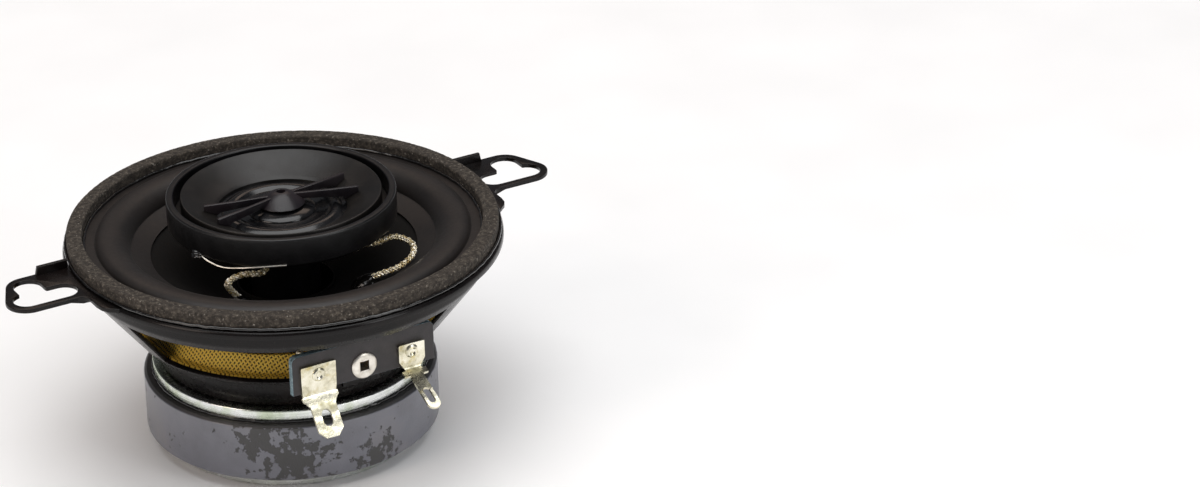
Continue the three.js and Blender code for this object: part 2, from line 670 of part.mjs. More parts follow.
const former = () => ring(FORMER_INNER_R, FORMER_R, FORMER_Z, coneFrontZ(FORMER_R) + 0.5);
const winding = () => ring(FORMER_R, WINDING_R, WINDING_Z, WINDING_Z + WINDING_LENGTH);

// A dab of adhesive over the end of a front lead, shaped by the cone under it and the lead inside it.
function glueDab(leadPoints) {
  const [x, y] = leadPoints[leadPoints.length - 1];
  const surfaceZ = coneFrontZ(Math.hypot(x, y));
  const blob = new THREE.SphereGeometry(1, 12, 8)
    .scale(GLUE_DAB_R, GLUE_DAB_R, GLUE_DAB_HEIGHT + GLUE_DAB_R * CONE_SLOPE)
    .translate(x, y, surfaceZ);
  const below = turned([
    [0, 0],
    [CONE_EDGE_R, 0],
    [CONE_EDGE_R, CONE_EDGE_Z + GLUE_DAB_CLEARANCE],
    [FORMER_R, coneFrontZ(FORMER_R) + GLUE_DAB_CLEARANCE],
    [0, coneFrontZ(FORMER_R) + GLUE_DAB_CLEARANCE],
  ]);
  return cutFrom(blob, [below, roundWire(leadPoints, LEAD_R + GLUE_DAB_CLEARANCE)]);
}

// ---------------------------------------------------------------- tweeter

// Post with its foot on the pole; z = 0 is the foot's underside.
function post() {
  const height = TWEETER_FLOOR_Z - BASKET_Z;
  const boreR = SCREW_R + SCREW_CLEARANCE;
  return turned([
    [boreR, 0],
    [POST_FOOT_R, 0],
    [POST_FOOT_R, POST_FOOT_T],
    [POST_R, POST_FOOT_T + 1],
    [POST_R, height],
    [boreR, height],
  ]);
}

// The screw through the tweeter's floor and the post into the pole; z = 0 is its tip.
function postScrew() {
  const shank = SCREW_BITE + (TWEETER_FLOOR_Z - BASKET_Z) + TWEETER_FLOOR_T - SCREW_HEAD_T;
  return turned([
    [0, 0],
    [SCREW_R - 0.4, 0],
    [SCREW_R, 0.8],
    [SCREW_R, shank],
    [SCREW_HEAD_R, shank],
    [SCREW_HEAD_R, shank + SCREW_HEAD_T - SCREW_CLEARANCE],
    [0, shank + SCREW_HEAD_T - SCREW_CLEARANCE],
  ], SMALL_ROUND);
}

const leadHoles = () => [FRONT_LEAD_RIGHT, FRONT_LEAD_LEFT].map(([inside, outside]) => {
  const [x, y] = [(inside[0] + outside[0]) / 2, (inside[1] + outside[1]) / 2];
  return disc(LEAD_R + LEAD_HOLE_CLEARANCE, outside[2] - 1.5, inside[2] + 1, SMALL_ROUND)
    .translate(x, y, -TWEETER_FLOOR_Z);
});

// The housing: floor, funnel and upright side; z = 0 is the floor's underside.
function tweeterHousing() {
  const lip = 0.35;
  const innerR = TWEETER_R - TWEETER_WALL;
  const shoulder = TWEETER_SIDE_FROM;
  const counterboreR = SCREW_HEAD_R + 2 * SCREW_CLEARANCE;
  const blank = turned([
    [SCREW_R + SCREW_CLEARANCE, 0],
    [TWEETER_FLOOR_R, 0],
    [TWEETER_R - 1, shoulder - 0.7],
    [TWEETER_R, shoulder],
    [TWEETER_R, TWEETER_HEIGHT - lip],
    [TWEETER_R - lip, TWEETER_HEIGHT],
    [innerR + lip, TWEETER_HEIGHT],
    [innerR, TWEETER_HEIGHT - lip],
    [innerR, shoulder + TWEETER_WALL * 0.7],
    [FUNNEL_FOOT_R, TWEETER_FLOOR_T],
    [counterboreR, TWEETER_FLOOR_T],
    [counterboreR, TWEETER_FLOOR_T - SCREW_HEAD_T],
    [SCREW_R + SCREW_CLEARANCE, TWEETER_FLOOR_T - SCREW_HEAD_T],
  ]);
  return cutFrom(blank, leadHoles());
}

// The horn disc: a sloping face, a skirt in the housing and a foot that stands on the housing's shoulder.
function hornDisc() {
  const footR = TWEETER_R - TWEETER_WALL - 0.1;
  const footZ = TWEETER_FLOOR_Z + TWEETER_SIDE_FROM + TWEETER_WALL * 0.7 + 0.1;
  const middleR = (HORN_THROAT_R + HORN_R) / 2;
  const dish = 0.2; // the face is slightly hollow half way out
  const skirtR = HORN_R - HORN_T;
  const seatR = TWEETER_FRAME_R;
  return turned([
    [skirtR, footZ],
    [footR, footZ],
    [footR, footZ + HORN_T],
    [HORN_R, footZ + HORN_T],
    [HORN_R, HORN_RIM_Z - 0.2],
    [HORN_R - 0.3, HORN_RIM_Z],
    [middleR, hornFrontZ(middleR) - dish],
    [HORN_THROAT_R, THROAT_Z],
    [HORN_THROAT_R, SUSPENSION_Z],
    [seatR, SUSPENSION_Z],
    [skirtR, hornFrontZ(skirtR) - 2 * HORN_T],
  ]);
}

// The tweeter's suspension: a clamped flat, one roll and an inner flat that the dome stands on.
function suspension() {
  const middle = SUSPENSION_Z - SUSPENSION_T / 2;
  const rollOuterR = HORN_THROAT_R - 1;
  const rollInnerR = DOME_R + 2.4;
  const rollR = (rollOuterR + rollInnerR) / 2;
  return turned(sheetProfile([
    [DOME_R, middle],
    [rollInnerR, middle],
    [rollR, middle + SUSPENSION_ROLL],
    [rollOuterR, middle],
    [TWEETER_FRAME_R, middle],
  ], SUSPENSION_T));
}

// A dome of even thickness whose skirt is the coil's former.
function dome() {
  const steps = 4;
  const base = SUSPENSION_Z;
  const cap = (r, z0) => Array.from({ length: steps + 1 }, (_, i) => {
    const a = (Math.PI / 2) * (i / steps);
    return [i === steps ? 0 : r * Math.cos(a), z0 + (r / DOME_R) * DOME_HEIGHT * Math.sin(a)];
  });
  const inner = cap(TWEETER_COIL_INNER_R, base).reverse();
  return turned([...cap(DOME_R, base), ...inner]);
}

const tweeterCoil = () =>
  ring(TWEETER_COIL_INNER_R, DOME_R, SUSPENSION_Z - TWEETER_COIL_LENGTH, SUSPENSION_Z);

function tweeterYoke() {
  const rim = TWEETER_FRAME_Z + TWEETER_FRAME_T / 2;
  return turned([
    [0, TWEETER_YOKE_Z],
    [TWEETER_YOKE_R, TWEETER_YOKE_Z],
    [TWEETER_YOKE_R, rim],
    [TWEETER_YOKE_INNER_R, rim],
    [TWEETER_YOKE_INNER_R, TWEETER_YOKE_Z + TWEETER_YOKE_FLOOR],
    [0, TWEETER_YOKE_Z + TWEETER_YOKE_FLOOR],
  ]);
}

// The ring on the yoke's rim that the suspension is clamped to.
const tweeterFrame = () => turned([
  [TWEETER_YOKE_INNER_R, TWEETER_FRAME_Z + TWEETER_FRAME_T / 2],
  [TWEETER_YOKE_R, TWEETER_FRAME_Z + TWEETER_FRAME_T / 2],
  [TWEETER_YOKE_R, TWEETER_FRAME_Z],
  [TWEETER_FRAME_R, TWEETER_FRAME_Z],
  [TWEETER_FRAME_R, TWEETER_FRAME_Z + TWEETER_FRAME_T],
  [DOME_R + 2.4, TWEETER_FRAME_Z + TWEETER_FRAME_T],
  [DOME_R + 2.4, TWEETER_FRAME_Z + TWEETER_FRAME_T * 0.75],
  [TWEETER_YOKE_INNER_R, TWEETER_FRAME_Z + TWEETER_FRAME_T * 0.75],
]);

// The phase plug: a cap with a small hole, and thin blades that stand on the horn's throat.
function phasePlug() {
  const top = HORN_RIM_Z;
  const steps = 5;
  const crown = (r, height, crownZ) => Array.from({ length: steps + 1 }, (_, i) => {
    const share = i / steps;
    return [PLUG_HOLE_R + (r - PLUG_HOLE_R) * share, crownZ - height * share ** 1.6];
  });
  const outer = crown(PLUG_R, PLUG_HEIGHT, top).reverse();
  const inner = crown(PLUG_R - PLUG_T * 0.6, PLUG_HEIGHT - PLUG_T, top - PLUG_T);
  const cap = turned([...inner, ...outer]);
  const over = SUSPENSION_Z + SUSPENSION_ROLL + BLADE_CLEARANCE;
  const blade = new THREE.Shape();
  blade.moveTo(PLUG_R - PLUG_T, top - PLUG_HEIGHT + PLUG_T * 0.6);
  blade.lineTo(HORN_THROAT_R - 0.5, over);
  blade.lineTo(BLADE_REACH_R, over);
  blade.lineTo(BLADE_REACH_R, hornFrontZ(BLADE_REACH_R) + 1);
  blade.lineTo(PLUG_R - 2 * PLUG_T, top - PLUG_T * 0.8);
  const blades = BLADE_ANGLES.map((angle) =>
    plate(blade, -BLADE_T / 2, BLADE_T / 2).rotateX(Math.PI / 2).rotateZ(radians(angle)));
  return cutFrom(joined([cap, ...blades]), [hornDisc()]);
}

const capacitor = () =>
  disc(CAPACITOR_R, -CAPACITOR_LENGTH / 2, CAPACITOR_LENGTH / 2, SMALL_ROUND).rotateY(Math.PI / 2);

// ---------------------------------------------------------------- terminals

// The terminal board stands in front of its ear; x = 0 is its middle and z = 0 its lower edge.
function terminalBoard() {
  const w = BOARD_WIDTH / 2;
  const h = BOARD_HEIGHT;
  const c = BOARD_CORNER_R;
  const outline = new THREE.Shape();
  outline.moveTo(-w, 0);
  outline.lineTo(w, 0);
  outline.absarc(w - c, h - c, c, 0, Math.PI / 2, false);
  outline.absarc(-w + c, h - c, c, Math.PI / 2, Math.PI, false);
  const blank = plate(outline, 0, BOARD_T).rotateX(Math.PI / 2).translate(0, BOARD_T, 0);
  const holeAt = (x, z, r) =>
    disc(r + SCREW_CLEARANCE, -REACH, REACH, SMALL_ROUND).rotateX(Math.PI / 2).translate(x, 0, z);
  return cutFrom(blank, [
    holeAt(0, EYELET_HEIGHT, EYELET_R),
    ...[WIDE_LUG, NARROW_LUG].map((lug) => holeAt(lug.x, lugRivetHeight(lug), LUG_RIVET_R)),
  ]);
}

const lugRivetHeight = (lug) => lug.bodyHeight / 2 + LUG_RIVET_RAISED;

// The eyelet that clamps the board to the basket's ear, along Y; y = 0 is the board's face.
function eyelet() {
  const grip = BOARD_T + SHEET_T;
  const body = turned([
    [0, -EYELET_FLANGE_T],
    [EYELET_FLANGE_R - 0.3, -EYELET_FLANGE_T],
    [EYELET_FLANGE_R, 0],
    [EYELET_R, 0],
    [EYELET_R, grip],
    [EYELET_FLANGE_R - 0.6, grip],
    [EYELET_FLANGE_R - 0.8, grip + EYELET_FLANGE_T],
    [0, grip + EYELET_FLANGE_T],
  ], SMALL_ROUND).rotateX(-Math.PI / 2);
  const half = EYELET_HOLE / 2;
  return cutFrom(body, [box(-half, half, -REACH, REACH, -half, half)]);
}

const mirroredOutline = (rightSide) => {
  const outline = new THREE.Shape();
  const points = [...rightSide, ...rightSide.map(([x, y]) => [-x, y]).reverse()];
  points.forEach(([x, y], i) => outline[i ? "lineTo" : "moveTo"](x, y));
  return outline;
};

// A lug: a body flat on the board's face and a blade with a slot, bent down and outwards.
// x = 0 is the lug's middle, z = 0 the board's lower edge and y = 0 the board's face.
function lug(size) {
  const { bodyWidth, bodyHeight, taperHeight, neckWidth, earWidth, bladeWidth, bladeLength } = size;
  const body = plate(mirroredOutline([
    [neckWidth / 2, -LUG_BEND_DROP],
    [bodyWidth / 2, taperHeight],
    [bodyWidth / 2, bodyHeight],
  ]), 0, LUG_T).rotateX(Math.PI / 2);
  const bent = (geometry) => geometry
    .rotateX(Math.PI / 2)
    .translate(0, 0, LUG_T / 2)
    .rotateX(-radians(size.tilt))
    .translate(0, 0, -LUG_BEND_DROP);
  const blade = bent(plate(mirroredOutline([
    [bladeWidth / 2 - size.tipCut, -bladeLength],
    [bladeWidth / 2, -bladeLength + size.tipCut],
    [bladeWidth / 2, -size.earTo - size.earSlope],
    [earWidth / 2, -size.earTo],
    [earWidth / 2, -size.earFrom],
    [neckWidth / 2, -size.earFrom],
    [neckWidth / 2, 0],
  ]), 0, LUG_T));
  const r = size.holeWidth / 2;
  const hole = bent(plate(
    slotOutline(0, -size.holeTo + r, 0, -size.holeFrom - r, size.holeWidth), -REACH, REACH));
  const trim = box(-REACH, REACH, 0, REACH, -REACH, REACH);
  const rivetHole = disc(LUG_RIVET_R + SCREW_CLEARANCE, -2 * LUG_T, LUG_T, SMALL_ROUND)
    .rotateX(Math.PI / 2)
    .translate(0, 0, lugRivetHeight(size));
  return cutFrom(joined([body, blade]), [hole, trim, rivetHole]);
}

// The small rivet that holds a lug to the board, along Y; y = 0 is the board's face.
function lugRivet() {
  return turned([
    [0, -LUG_T - 0.6],
    [LUG_RIVET_HEAD_R - 0.4, -LUG_T - 0.6],
    [LUG_RIVET_HEAD_R, -LUG_T],
    [LUG_RIVET_R, -LUG_T],
    [LUG_RIVET_R, BOARD_T],
    [LUG_RIVET_HEAD_R, BOARD_T],
    [LUG_RIVET_HEAD_R - 0.4, BOARD_T + 0.5],
    [0, BOARD_T + 0.5],
  ], SMALL_ROUND).rotateX(-Math.PI / 2);
}

// ---------------------------------------------------------------- the scene graph

const zincPlate = () => material(0xb9bcb6, 0.35, 0.9);
const blackPaint = () => material(0x24211f, 0.45, 0.3);
const blackPlastic = () => material(0x1b1b1c, 0.4, 0);
const tinnedBrass = () => material(0xdcd8bc, 0.3, 0.9);
const tinselBraid = () => material(0xd8cfa8, 0.45, 0.7);

const speaker = new THREE.Group();

const motor = new THREE.Group();
speaker.add(motor);
mesh("t_yoke", yoke(), zincPlate(), motor);
mesh("ferrite_magnet", magnetRing(), material(0x55555c, 0.7, 0.1), motor).position.z = MAGNET_Z;
mesh("top_plate", topPlate(), zincPlate(), motor).position.z = TOP_PLATE_Z;

const chassis = new THREE.Group();
chassis.position.z = BASKET_Z;
speaker.add(chassis);
mesh("basket", basket(), blackPaint(), chassis);
rivetPlaces.forEach(([x, y], i) => {
  mesh(`basket_rivet_${i + 1}`, rivet(), zincPlate(), chassis).position.set(x, y, -RIVET_BITE);
});
mesh("mounting_gasket", gasket(), material(0x554f48, 0.95, 0), speaker).position.z = GASKET_Z;

const driver = new THREE.Group();
speaker.add(driver);
mesh("surround", surround(), material(0x2a2725, 0.6, 0), driver);
mesh("cone", cone(), material(0x1f1e1c, 0.85, 0), driver);
mesh("spider", spider(), material(0xc79a2c, 0.85, 0), driver);
mesh("voice_coil_former", former(), material(0x8a6a3a, 0.5, 0.3), driver);
mesh("voice_coil_winding", winding(), material(0xa8562a, 0.35, 0.8), driver);
mesh("cone_glue_dab_right", glueDab(FRONT_LEAD_RIGHT), material(0x14130f, 0.4, 0), driver);
mesh("cone_glue_dab_left", glueDab(FRONT_LEAD_LEFT), material(0x14130f, 0.4, 0), driver);

const tweeter = new THREE.Group();
speaker.add(tweeter);
mesh("tweeter_post", post(), blackPlastic(), tweeter).position.z = BASKET_Z;
mesh("post_screw", postScrew(), zincPlate(), tweeter).position.z = BASKET_Z - SCREW_BITE;
mesh("tweeter_housing", tweeterHousing(), blackPlastic(), tweeter).position.z = TWEETER_FLOOR_Z;
mesh("tweeter_horn", hornDisc(), blackPlastic(), tweeter);
mesh("tweeter_phase_plug", phasePlug(), blackPlastic(), tweeter);
mesh("tweeter_suspension", suspension(), material(0x111112, 0.2, 0), tweeter);
mesh("tweeter_dome", dome(), material(0x111112, 0.2, 0), tweeter);
mesh("tweeter_coil", tweeterCoil(), material(0xa8562a, 0.35, 0.8), tweeter);
mesh("tweeter_yoke", tweeterYoke(), zincPlate(), tweeter);
mesh("tweeter_magnet", disc(TWEETER_POLE_R - 0.4, 0, TWEETER_MAGNET_T), zincPlate(), tweeter)
  .position.z = TWEETER_YOKE_Z + TWEETER_YOKE_FLOOR;
mesh("tweeter_pole_plate", disc(TWEETER_POLE_R, 0, TWEETER_POLE_T), zincPlate(), tweeter)
  .position.z = TWEETER_YOKE_Z + TWEETER_YOKE_FLOOR + TWEETER_MAGNET_T;
mesh("tweeter_frame", tweeterFrame(), blackPlastic(), tweeter);
const capacitorMesh = mesh("crossover_capacitor", capacitor(), material(0x2b4f8c, 0.4, 0), tweeter);
const capacitorR = TWEETER_R - CAPACITOR_FROM_EDGE;
capacitorMesh.position.set(0, capacitorR, TWEETER_YOKE_Z
  + (capacitorR - FUNNEL_FOOT_R) * FUNNEL_SLOPE + CAPACITOR_R + CAPACITOR_CLEARANCE);

const terminals = new THREE.Group();
terminals.position.set(BOARD_CENTRE_X, BOARD_FACE_Y, BOARD_BOTTOM_Z);
speaker.add(terminals);
mesh("terminal_board", terminalBoard(), material(0x2c2428, 0.7, 0), terminals);
mesh("terminal_eyelet", eyelet(), material(0xe6e2d8, 0.3, 0.9), terminals).position.z = EYELET_HEIGHT;
mesh("wide_lug", lug(WIDE_LUG), tinnedBrass(), terminals).position.x = WIDE_LUG.x;
mesh("narrow_lug", lug(NARROW_LUG), tinnedBrass(), terminals).position.x = NARROW_LUG.x;
mesh("wide_lug_rivet", lugRivet(), tinnedBrass(), terminals)
  .position.set(WIDE_LUG.x, 0, lugRivetHeight(WIDE_LUG));
mesh("narrow_lug_rivet", lugRivet(), tinnedBrass(), terminals)
  .position.set(NARROW_LUG.x, 0, lugRivetHeight(NARROW_LUG));

const wiring = new THREE.Group();
speaker.add(wiring);
mesh("front_lead_right", roundWire(FRONT_LEAD_RIGHT, LEAD_R), tinselBraid(), wiring);
mesh("front_lead_left", roundWire(FRONT_LEAD_LEFT, LEAD_R), tinselBraid(), wiring);
mesh("rear_lead_right", roundWire(REAR_LEAD_RIGHT, LEAD_R), tinselBraid(), wiring);
mesh("rear_lead_left", roundWire(REAR_LEAD_LEFT, LEAD_R), tinselBraid(), wiring);

export default speaker;
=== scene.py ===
import math

import bmesh
import bpy
import numpy as np
from mathutils import Matrix, Vector, noise


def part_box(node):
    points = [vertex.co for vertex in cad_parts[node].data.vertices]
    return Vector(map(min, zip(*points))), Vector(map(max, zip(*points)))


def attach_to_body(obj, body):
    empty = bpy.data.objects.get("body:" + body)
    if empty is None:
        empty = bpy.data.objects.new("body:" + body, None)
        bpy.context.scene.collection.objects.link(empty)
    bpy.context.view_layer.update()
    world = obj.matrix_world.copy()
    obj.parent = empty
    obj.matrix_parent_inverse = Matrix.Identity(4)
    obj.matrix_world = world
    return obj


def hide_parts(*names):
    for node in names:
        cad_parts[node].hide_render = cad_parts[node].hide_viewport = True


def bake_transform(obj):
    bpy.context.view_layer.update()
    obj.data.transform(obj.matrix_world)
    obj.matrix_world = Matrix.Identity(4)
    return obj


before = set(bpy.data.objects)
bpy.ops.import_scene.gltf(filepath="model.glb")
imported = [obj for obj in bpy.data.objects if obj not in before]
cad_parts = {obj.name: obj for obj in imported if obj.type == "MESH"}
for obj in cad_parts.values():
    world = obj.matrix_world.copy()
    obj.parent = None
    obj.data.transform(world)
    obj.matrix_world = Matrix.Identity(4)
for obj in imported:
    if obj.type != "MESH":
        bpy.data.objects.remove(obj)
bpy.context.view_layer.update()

# A 3.5 inch coaxial car speaker: pressed steel basket, ferrite motor, paper cone on a rubber
# surround, resin-set cloth spider, and a dome tweeter in a plastic housing on a post.
# The axis is Z and the terminals face -Y. Sizes below are in millimetres.
MM = 0.001
SIDES = 180  # sides of a large turned piece
SMALL_SIDES = 48


# ------------------------------------------------------------------ camera and lights

CAMERA_AZIMUTH = -24.717
CAMERA_ELEVATION = 26.523
CAMERA_DISTANCE = 0.9543
CAMERA_LENS = 140.43
AIM_HEIGHT = 28 * MM
# Radians, from looking straight at the speaker's axis.
TURN_RIGHT, TILT, ROLL = 0.0673, -0.0087, 0.0593
SENSOR_WIDTH = 36
NEAREST, FURTHEST = 0.05, 20  # metres that the camera sees


def outward(azimuth, elevation):
    """The way from the speaker to a place round it, in degrees; azimuth 0 is the front."""
    a, e = math.radians(azimuth), math.radians(elevation)
    return Vector((math.sin(a) * math.cos(e), -math.cos(a) * math.cos(e), math.sin(e)))


def place_camera():
    back = outward(CAMERA_AZIMUTH, CAMERA_ELEVATION)
    a = math.radians(CAMERA_AZIMUTH)
    right = Vector((math.cos(a), math.sin(a), 0))
    axes = Matrix((right, back.cross(right), back))
    aim = Matrix.Rotation(ROLL, 3, "Z")
    aim = aim @ Matrix.Rotation(TILT, 3, "X") @ Matrix.Rotation(TURN_RIGHT, 3, "Y")
    camera = bpy.data.objects.new("camera", bpy.data.cameras.new("camera"))
    camera.data.lens = CAMERA_LENS
    camera.data.sensor_width = SENSOR_WIDTH
    camera.data.clip_start, camera.data.clip_end = NEAREST, FURTHEST
    place = Matrix.Translation(Vector((0, 0, AIM_HEIGHT)) + back * CAMERA_DISTANCE)
    camera.matrix_world = place @ (aim @ axes).transposed().to_4x4()
    bpy.context.scene.collection.objects.link(camera)
    bpy.context.scene.camera = camera


def softbox(name, azimuth, elevation, distance, size, watts, colour):
    """A soft rectangular lamp that faces the speaker; distance and size are in metres."""
    back = outward(azimuth, elevation)
    light = bpy.data.lights.new(name, "AREA")
    light.shape, light.size, light.size_y = "RECTANGLE", size[0], size[1]
    light.energy = watts
    light.color = linear(colour)[:3]
    lamp = bpy.data.objects.new(name, light)
    lamp.location = Vector((0, 0, AIM_HEIGHT)) + back * distance
    lamp.rotation_mode = "QUATERNION"
    lamp.rotation_quaternion = back.to_track_quat("Z", "Y")
    bpy.context.scene.collection.objects.link(lamp)


# ------------------------------------------------------------------ materials

# Patterns lie in object coordinates, which are metres, so one that repeats every s mm has the scale 1000 / s.
SHARE, UNDER, OVER, BLENDED = 0, 6, 7, 2  # a colour mix's inputs and its output


def linear(code):
    """An sRGB hex colour as linear red, green, blue and alpha."""
    parts = [int(code[i : i + 2], 16) / 255 for i in (1, 3, 5)]
    return [c / 12.92 if c <= 0.04045 else ((c + 0.055) / 1.055) ** 2.4 for c in parts] + [1.0]


def add(tree, kind, given, stops=()):
    """Adds a node with its settings and links, and gives its outputs.

    given holds attributes by name, and inputs by name or number: a socket is linked, a hex colour is
    made linear, and a number is set. stops are a ramp's pairs of a place and a hex colour or grey level.
    """
    made = tree.nodes.new("ShaderNode" + kind)
    for key, value in given.items():
        if isinstance(value, bpy.types.NodeSocket):
            tree.links.new(value, made.inputs[key])
        elif hasattr(made, str(key)):
            setattr(made, key, value)
        else:
            made.inputs[key].default_value = linear(value) if isinstance(value, str) else value
    for _ in stops[2:]:
        made.color_ramp.elements.new(0.5)
    for i, (at, look) in enumerate(stops):
        made.color_ramp.elements[i].position = at
        made.color_ramp.elements[i].color = linear(look) if isinstance(look, str) else (look, look, look, 1)
    return made.outputs


def surface(name, **sockets):
    """A material with its shader's own sockets set, its node tree and the place of each point."""
    made = bpy.data.materials.new(name)
    made.use_nodes = True
    tree = made.node_tree
    shader = tree.nodes["Principled BSDF"]
    for key, value in sockets.items():
        shader.inputs[key.replace("_", " ")].default_value = value
    return made, tree, shader, add(tree, "TexCoord", {})["Object"]


def feed(shader, **sources):
    """Links the finished colour, roughness or normal to the shader."""
    for key, source in sources.items():
        shader.id_data.links.new(source, shader.inputs[key.replace("_", " ")])


def foam_gasket():
    """Die-cut felted foam: a dull charcoal ring with pale dust caught in its open cells."""
    made, tree, shader, place = surface("felted_foam_gasket", Roughness=0.96, IOR=1.45)
    cells = add(tree, "TexNoise", {"Vector": place, "Scale": 1000 / 0.9, "Detail": 5,
                                   "Roughness": 0.75})["Fac"]
    specks = add(tree, "TexNoise", {"Vector": place, "Scale": 1000 / 0.45, "Detail": 2,
                                    "Roughness": 0.6})["Fac"]
    foam = add(tree, "ValToRGB", {"Fac": cells},
               [(0.3, "#1d1a17"), (0.5, "#3b352f"), (0.68, "#665e54")])["Color"]
    dust = add(tree, "ValToRGB", {"Fac": specks}, [(0.66, 0.0), (0.76, 0.75)])["Color"]
    dusty = add(tree, "Mix", {"data_type": "RGBA", SHARE: dust, UNDER: foam, OVER: "#bdb7ad"})[BLENDED]
    relief = add(tree, "Bump", {"Height": cells, "Distance": 0.5 * MM})["Normal"]
    feed(shader, Base_Color=dusty, Normal=relief)
    return made


def coated_steel():
    """Pressed steel under black electrocoat: satin, with a faint orange peel and rubbed warmer spots."""
    made, tree, shader, place = surface(
        "electrocoated_pressed_steel", IOR=1.5, Specular_IOR_Level=0.16, Coat_Weight=0.15,
        Coat_Roughness=0.12)
    rubbed = add(tree, "TexNoise", {"Vector": place, "Scale": 1000 / 9, "Detail": 4,
                                    "Roughness": 0.55})["Fac"]
    haze = add(tree, "TexNoise", {"Vector": place, "Scale": 1000 / 2.5, "Detail": 4,
                                  "Roughness": 0.55})["Fac"]
    peel = add(tree, "TexNoise", {"Vector": place, "Scale": 1000 / 1.6, "Detail": 2,
                                  "Roughness": 0.55})["Fac"]
    feed(shader,
         Base_Color=add(tree, "ValToRGB", {"Fac": rubbed}, [(0.35, "#0a0909"), (0.7, "#171211")])["Color"],
         Roughness=add(tree, "ValToRGB", {"Fac": haze}, [(0.3, 0.2), (0.7, 0.34)])["Color"],
         Normal=add(tree, "Bump", {"Height": peel, "Distance": 0.006 * MM})["Normal"])
    return made


def moulded_abs(name, dark, light, low, high):
    """Moulded black ABS from a finely spark-eroded mould: a soft broad sheen with no mirror image."""
    made, tree, shader, place = surface(name, IOR=1.53, Specular_IOR_Level=0.38)
    flow = add(tree, "TexNoise", {"Vector": place, "Scale": 1000 / 6, "Detail": 3, "Roughness": 0.55})["Fac"]
    haze = add(tree, "TexNoise", {"Vector": place, "Scale": 1000 / 3, "Detail": 4, "Roughness": 0.55})["Fac"]
    grain = add(tree, "TexNoise", {"Vector": place, "Scale": 1000 / 0.35, "Detail": 2,
                                   "Roughness": 0.55})["Fac"]
    feed(shader,
         Base_Color=add(tree, "ValToRGB", {"Fac": flow}, [(0.3, dark), (0.7, light)])["Color"],
         Roughness=add(tree, "ValToRGB", {"Fac": haze}, [(0.3, low), (0.7, high)])["Color"],
         Normal=add(tree, "Bump", {"Height": grain, "Distance": 0.02 * MM})["Normal"])
    return made


def butyl_rubber():
    """Moulded butyl rubber: dark warm grey, a wide satin highlight and a trace of dust."""
    made, tree, shader, place = surface(
        "moulded_butyl_rubber", IOR=1.52, Specular_IOR_Level=0.35, Sheen_Weight=0.04, Sheen_Roughness=0.5)
    bloom = add(tree, "TexNoise", {"Vector": place, "Scale": 1000 / 7, "Detail": 4, "Roughness": 0.55})["Fac"]
    dust = add(tree, "TexNoise", {"Vector": place, "Scale": 1000 / 1.2, "Detail": 4,
                                  "Roughness": 0.55})["Fac"]
    skin = add(tree, "TexNoise", {"Vector": place, "Scale": 1000 / 0.5, "Detail": 3,
                                  "Roughness": 0.55})["Fac"]
    feed(shader,
         Base_Color=add(tree, "ValToRGB", {"Fac": bloom}, [(0.3, "#120e0c"), (0.7, "#1d1714")])["Color"],
         Roughness=add(tree, "ValToRGB", {"Fac": dust}, [(0.3, 0.36), (0.7, 0.48)])["Color"],
         Normal=add(tree, "Bump", {"Height": skin, "Distance": 0.012 * MM})["Normal"])
    return made


def pressed_pulp():
    """Felted paper pulp dyed black: matte, with short fibres just visible."""
    made, tree, shader, place = surface("felted_paper_pulp", IOR=1.45, Specular_IOR_Level=0.25)
    drawn = add(tree, "Mapping", {"Vector": place, "Scale": (1, 0.35, 1)})["Vector"]
    fibres = add(tree, "TexNoise", {"Vector": drawn, "Scale": 1000 / 1.1, "Detail": 6,
                                    "Roughness": 0.7})["Fac"]
    dyed = [(0.3, "#080706"), (0.6, "#120f0d"), (0.8, "#201b18")]
    feed(shader,
         Base_Color=add(tree, "ValToRGB", {"Fac": fibres}, dyed)["Color"],
         Roughness=add(tree, "ValToRGB", {"Fac": fibres}, [(0.3, 0.7), (0.7, 0.9)])["Color"],
         Normal=add(tree, "Bump", {"Height": fibres, "Distance": 0.06 * MM})["Normal"])
    return made


THREAD_PITCH = 0.8  # spider cloth, drawn coarser than its real 0.5 mm so that the weave shows
THREAD_LIFT = 0.35  # how far a thread rises over the one that it crosses, as a share of its height


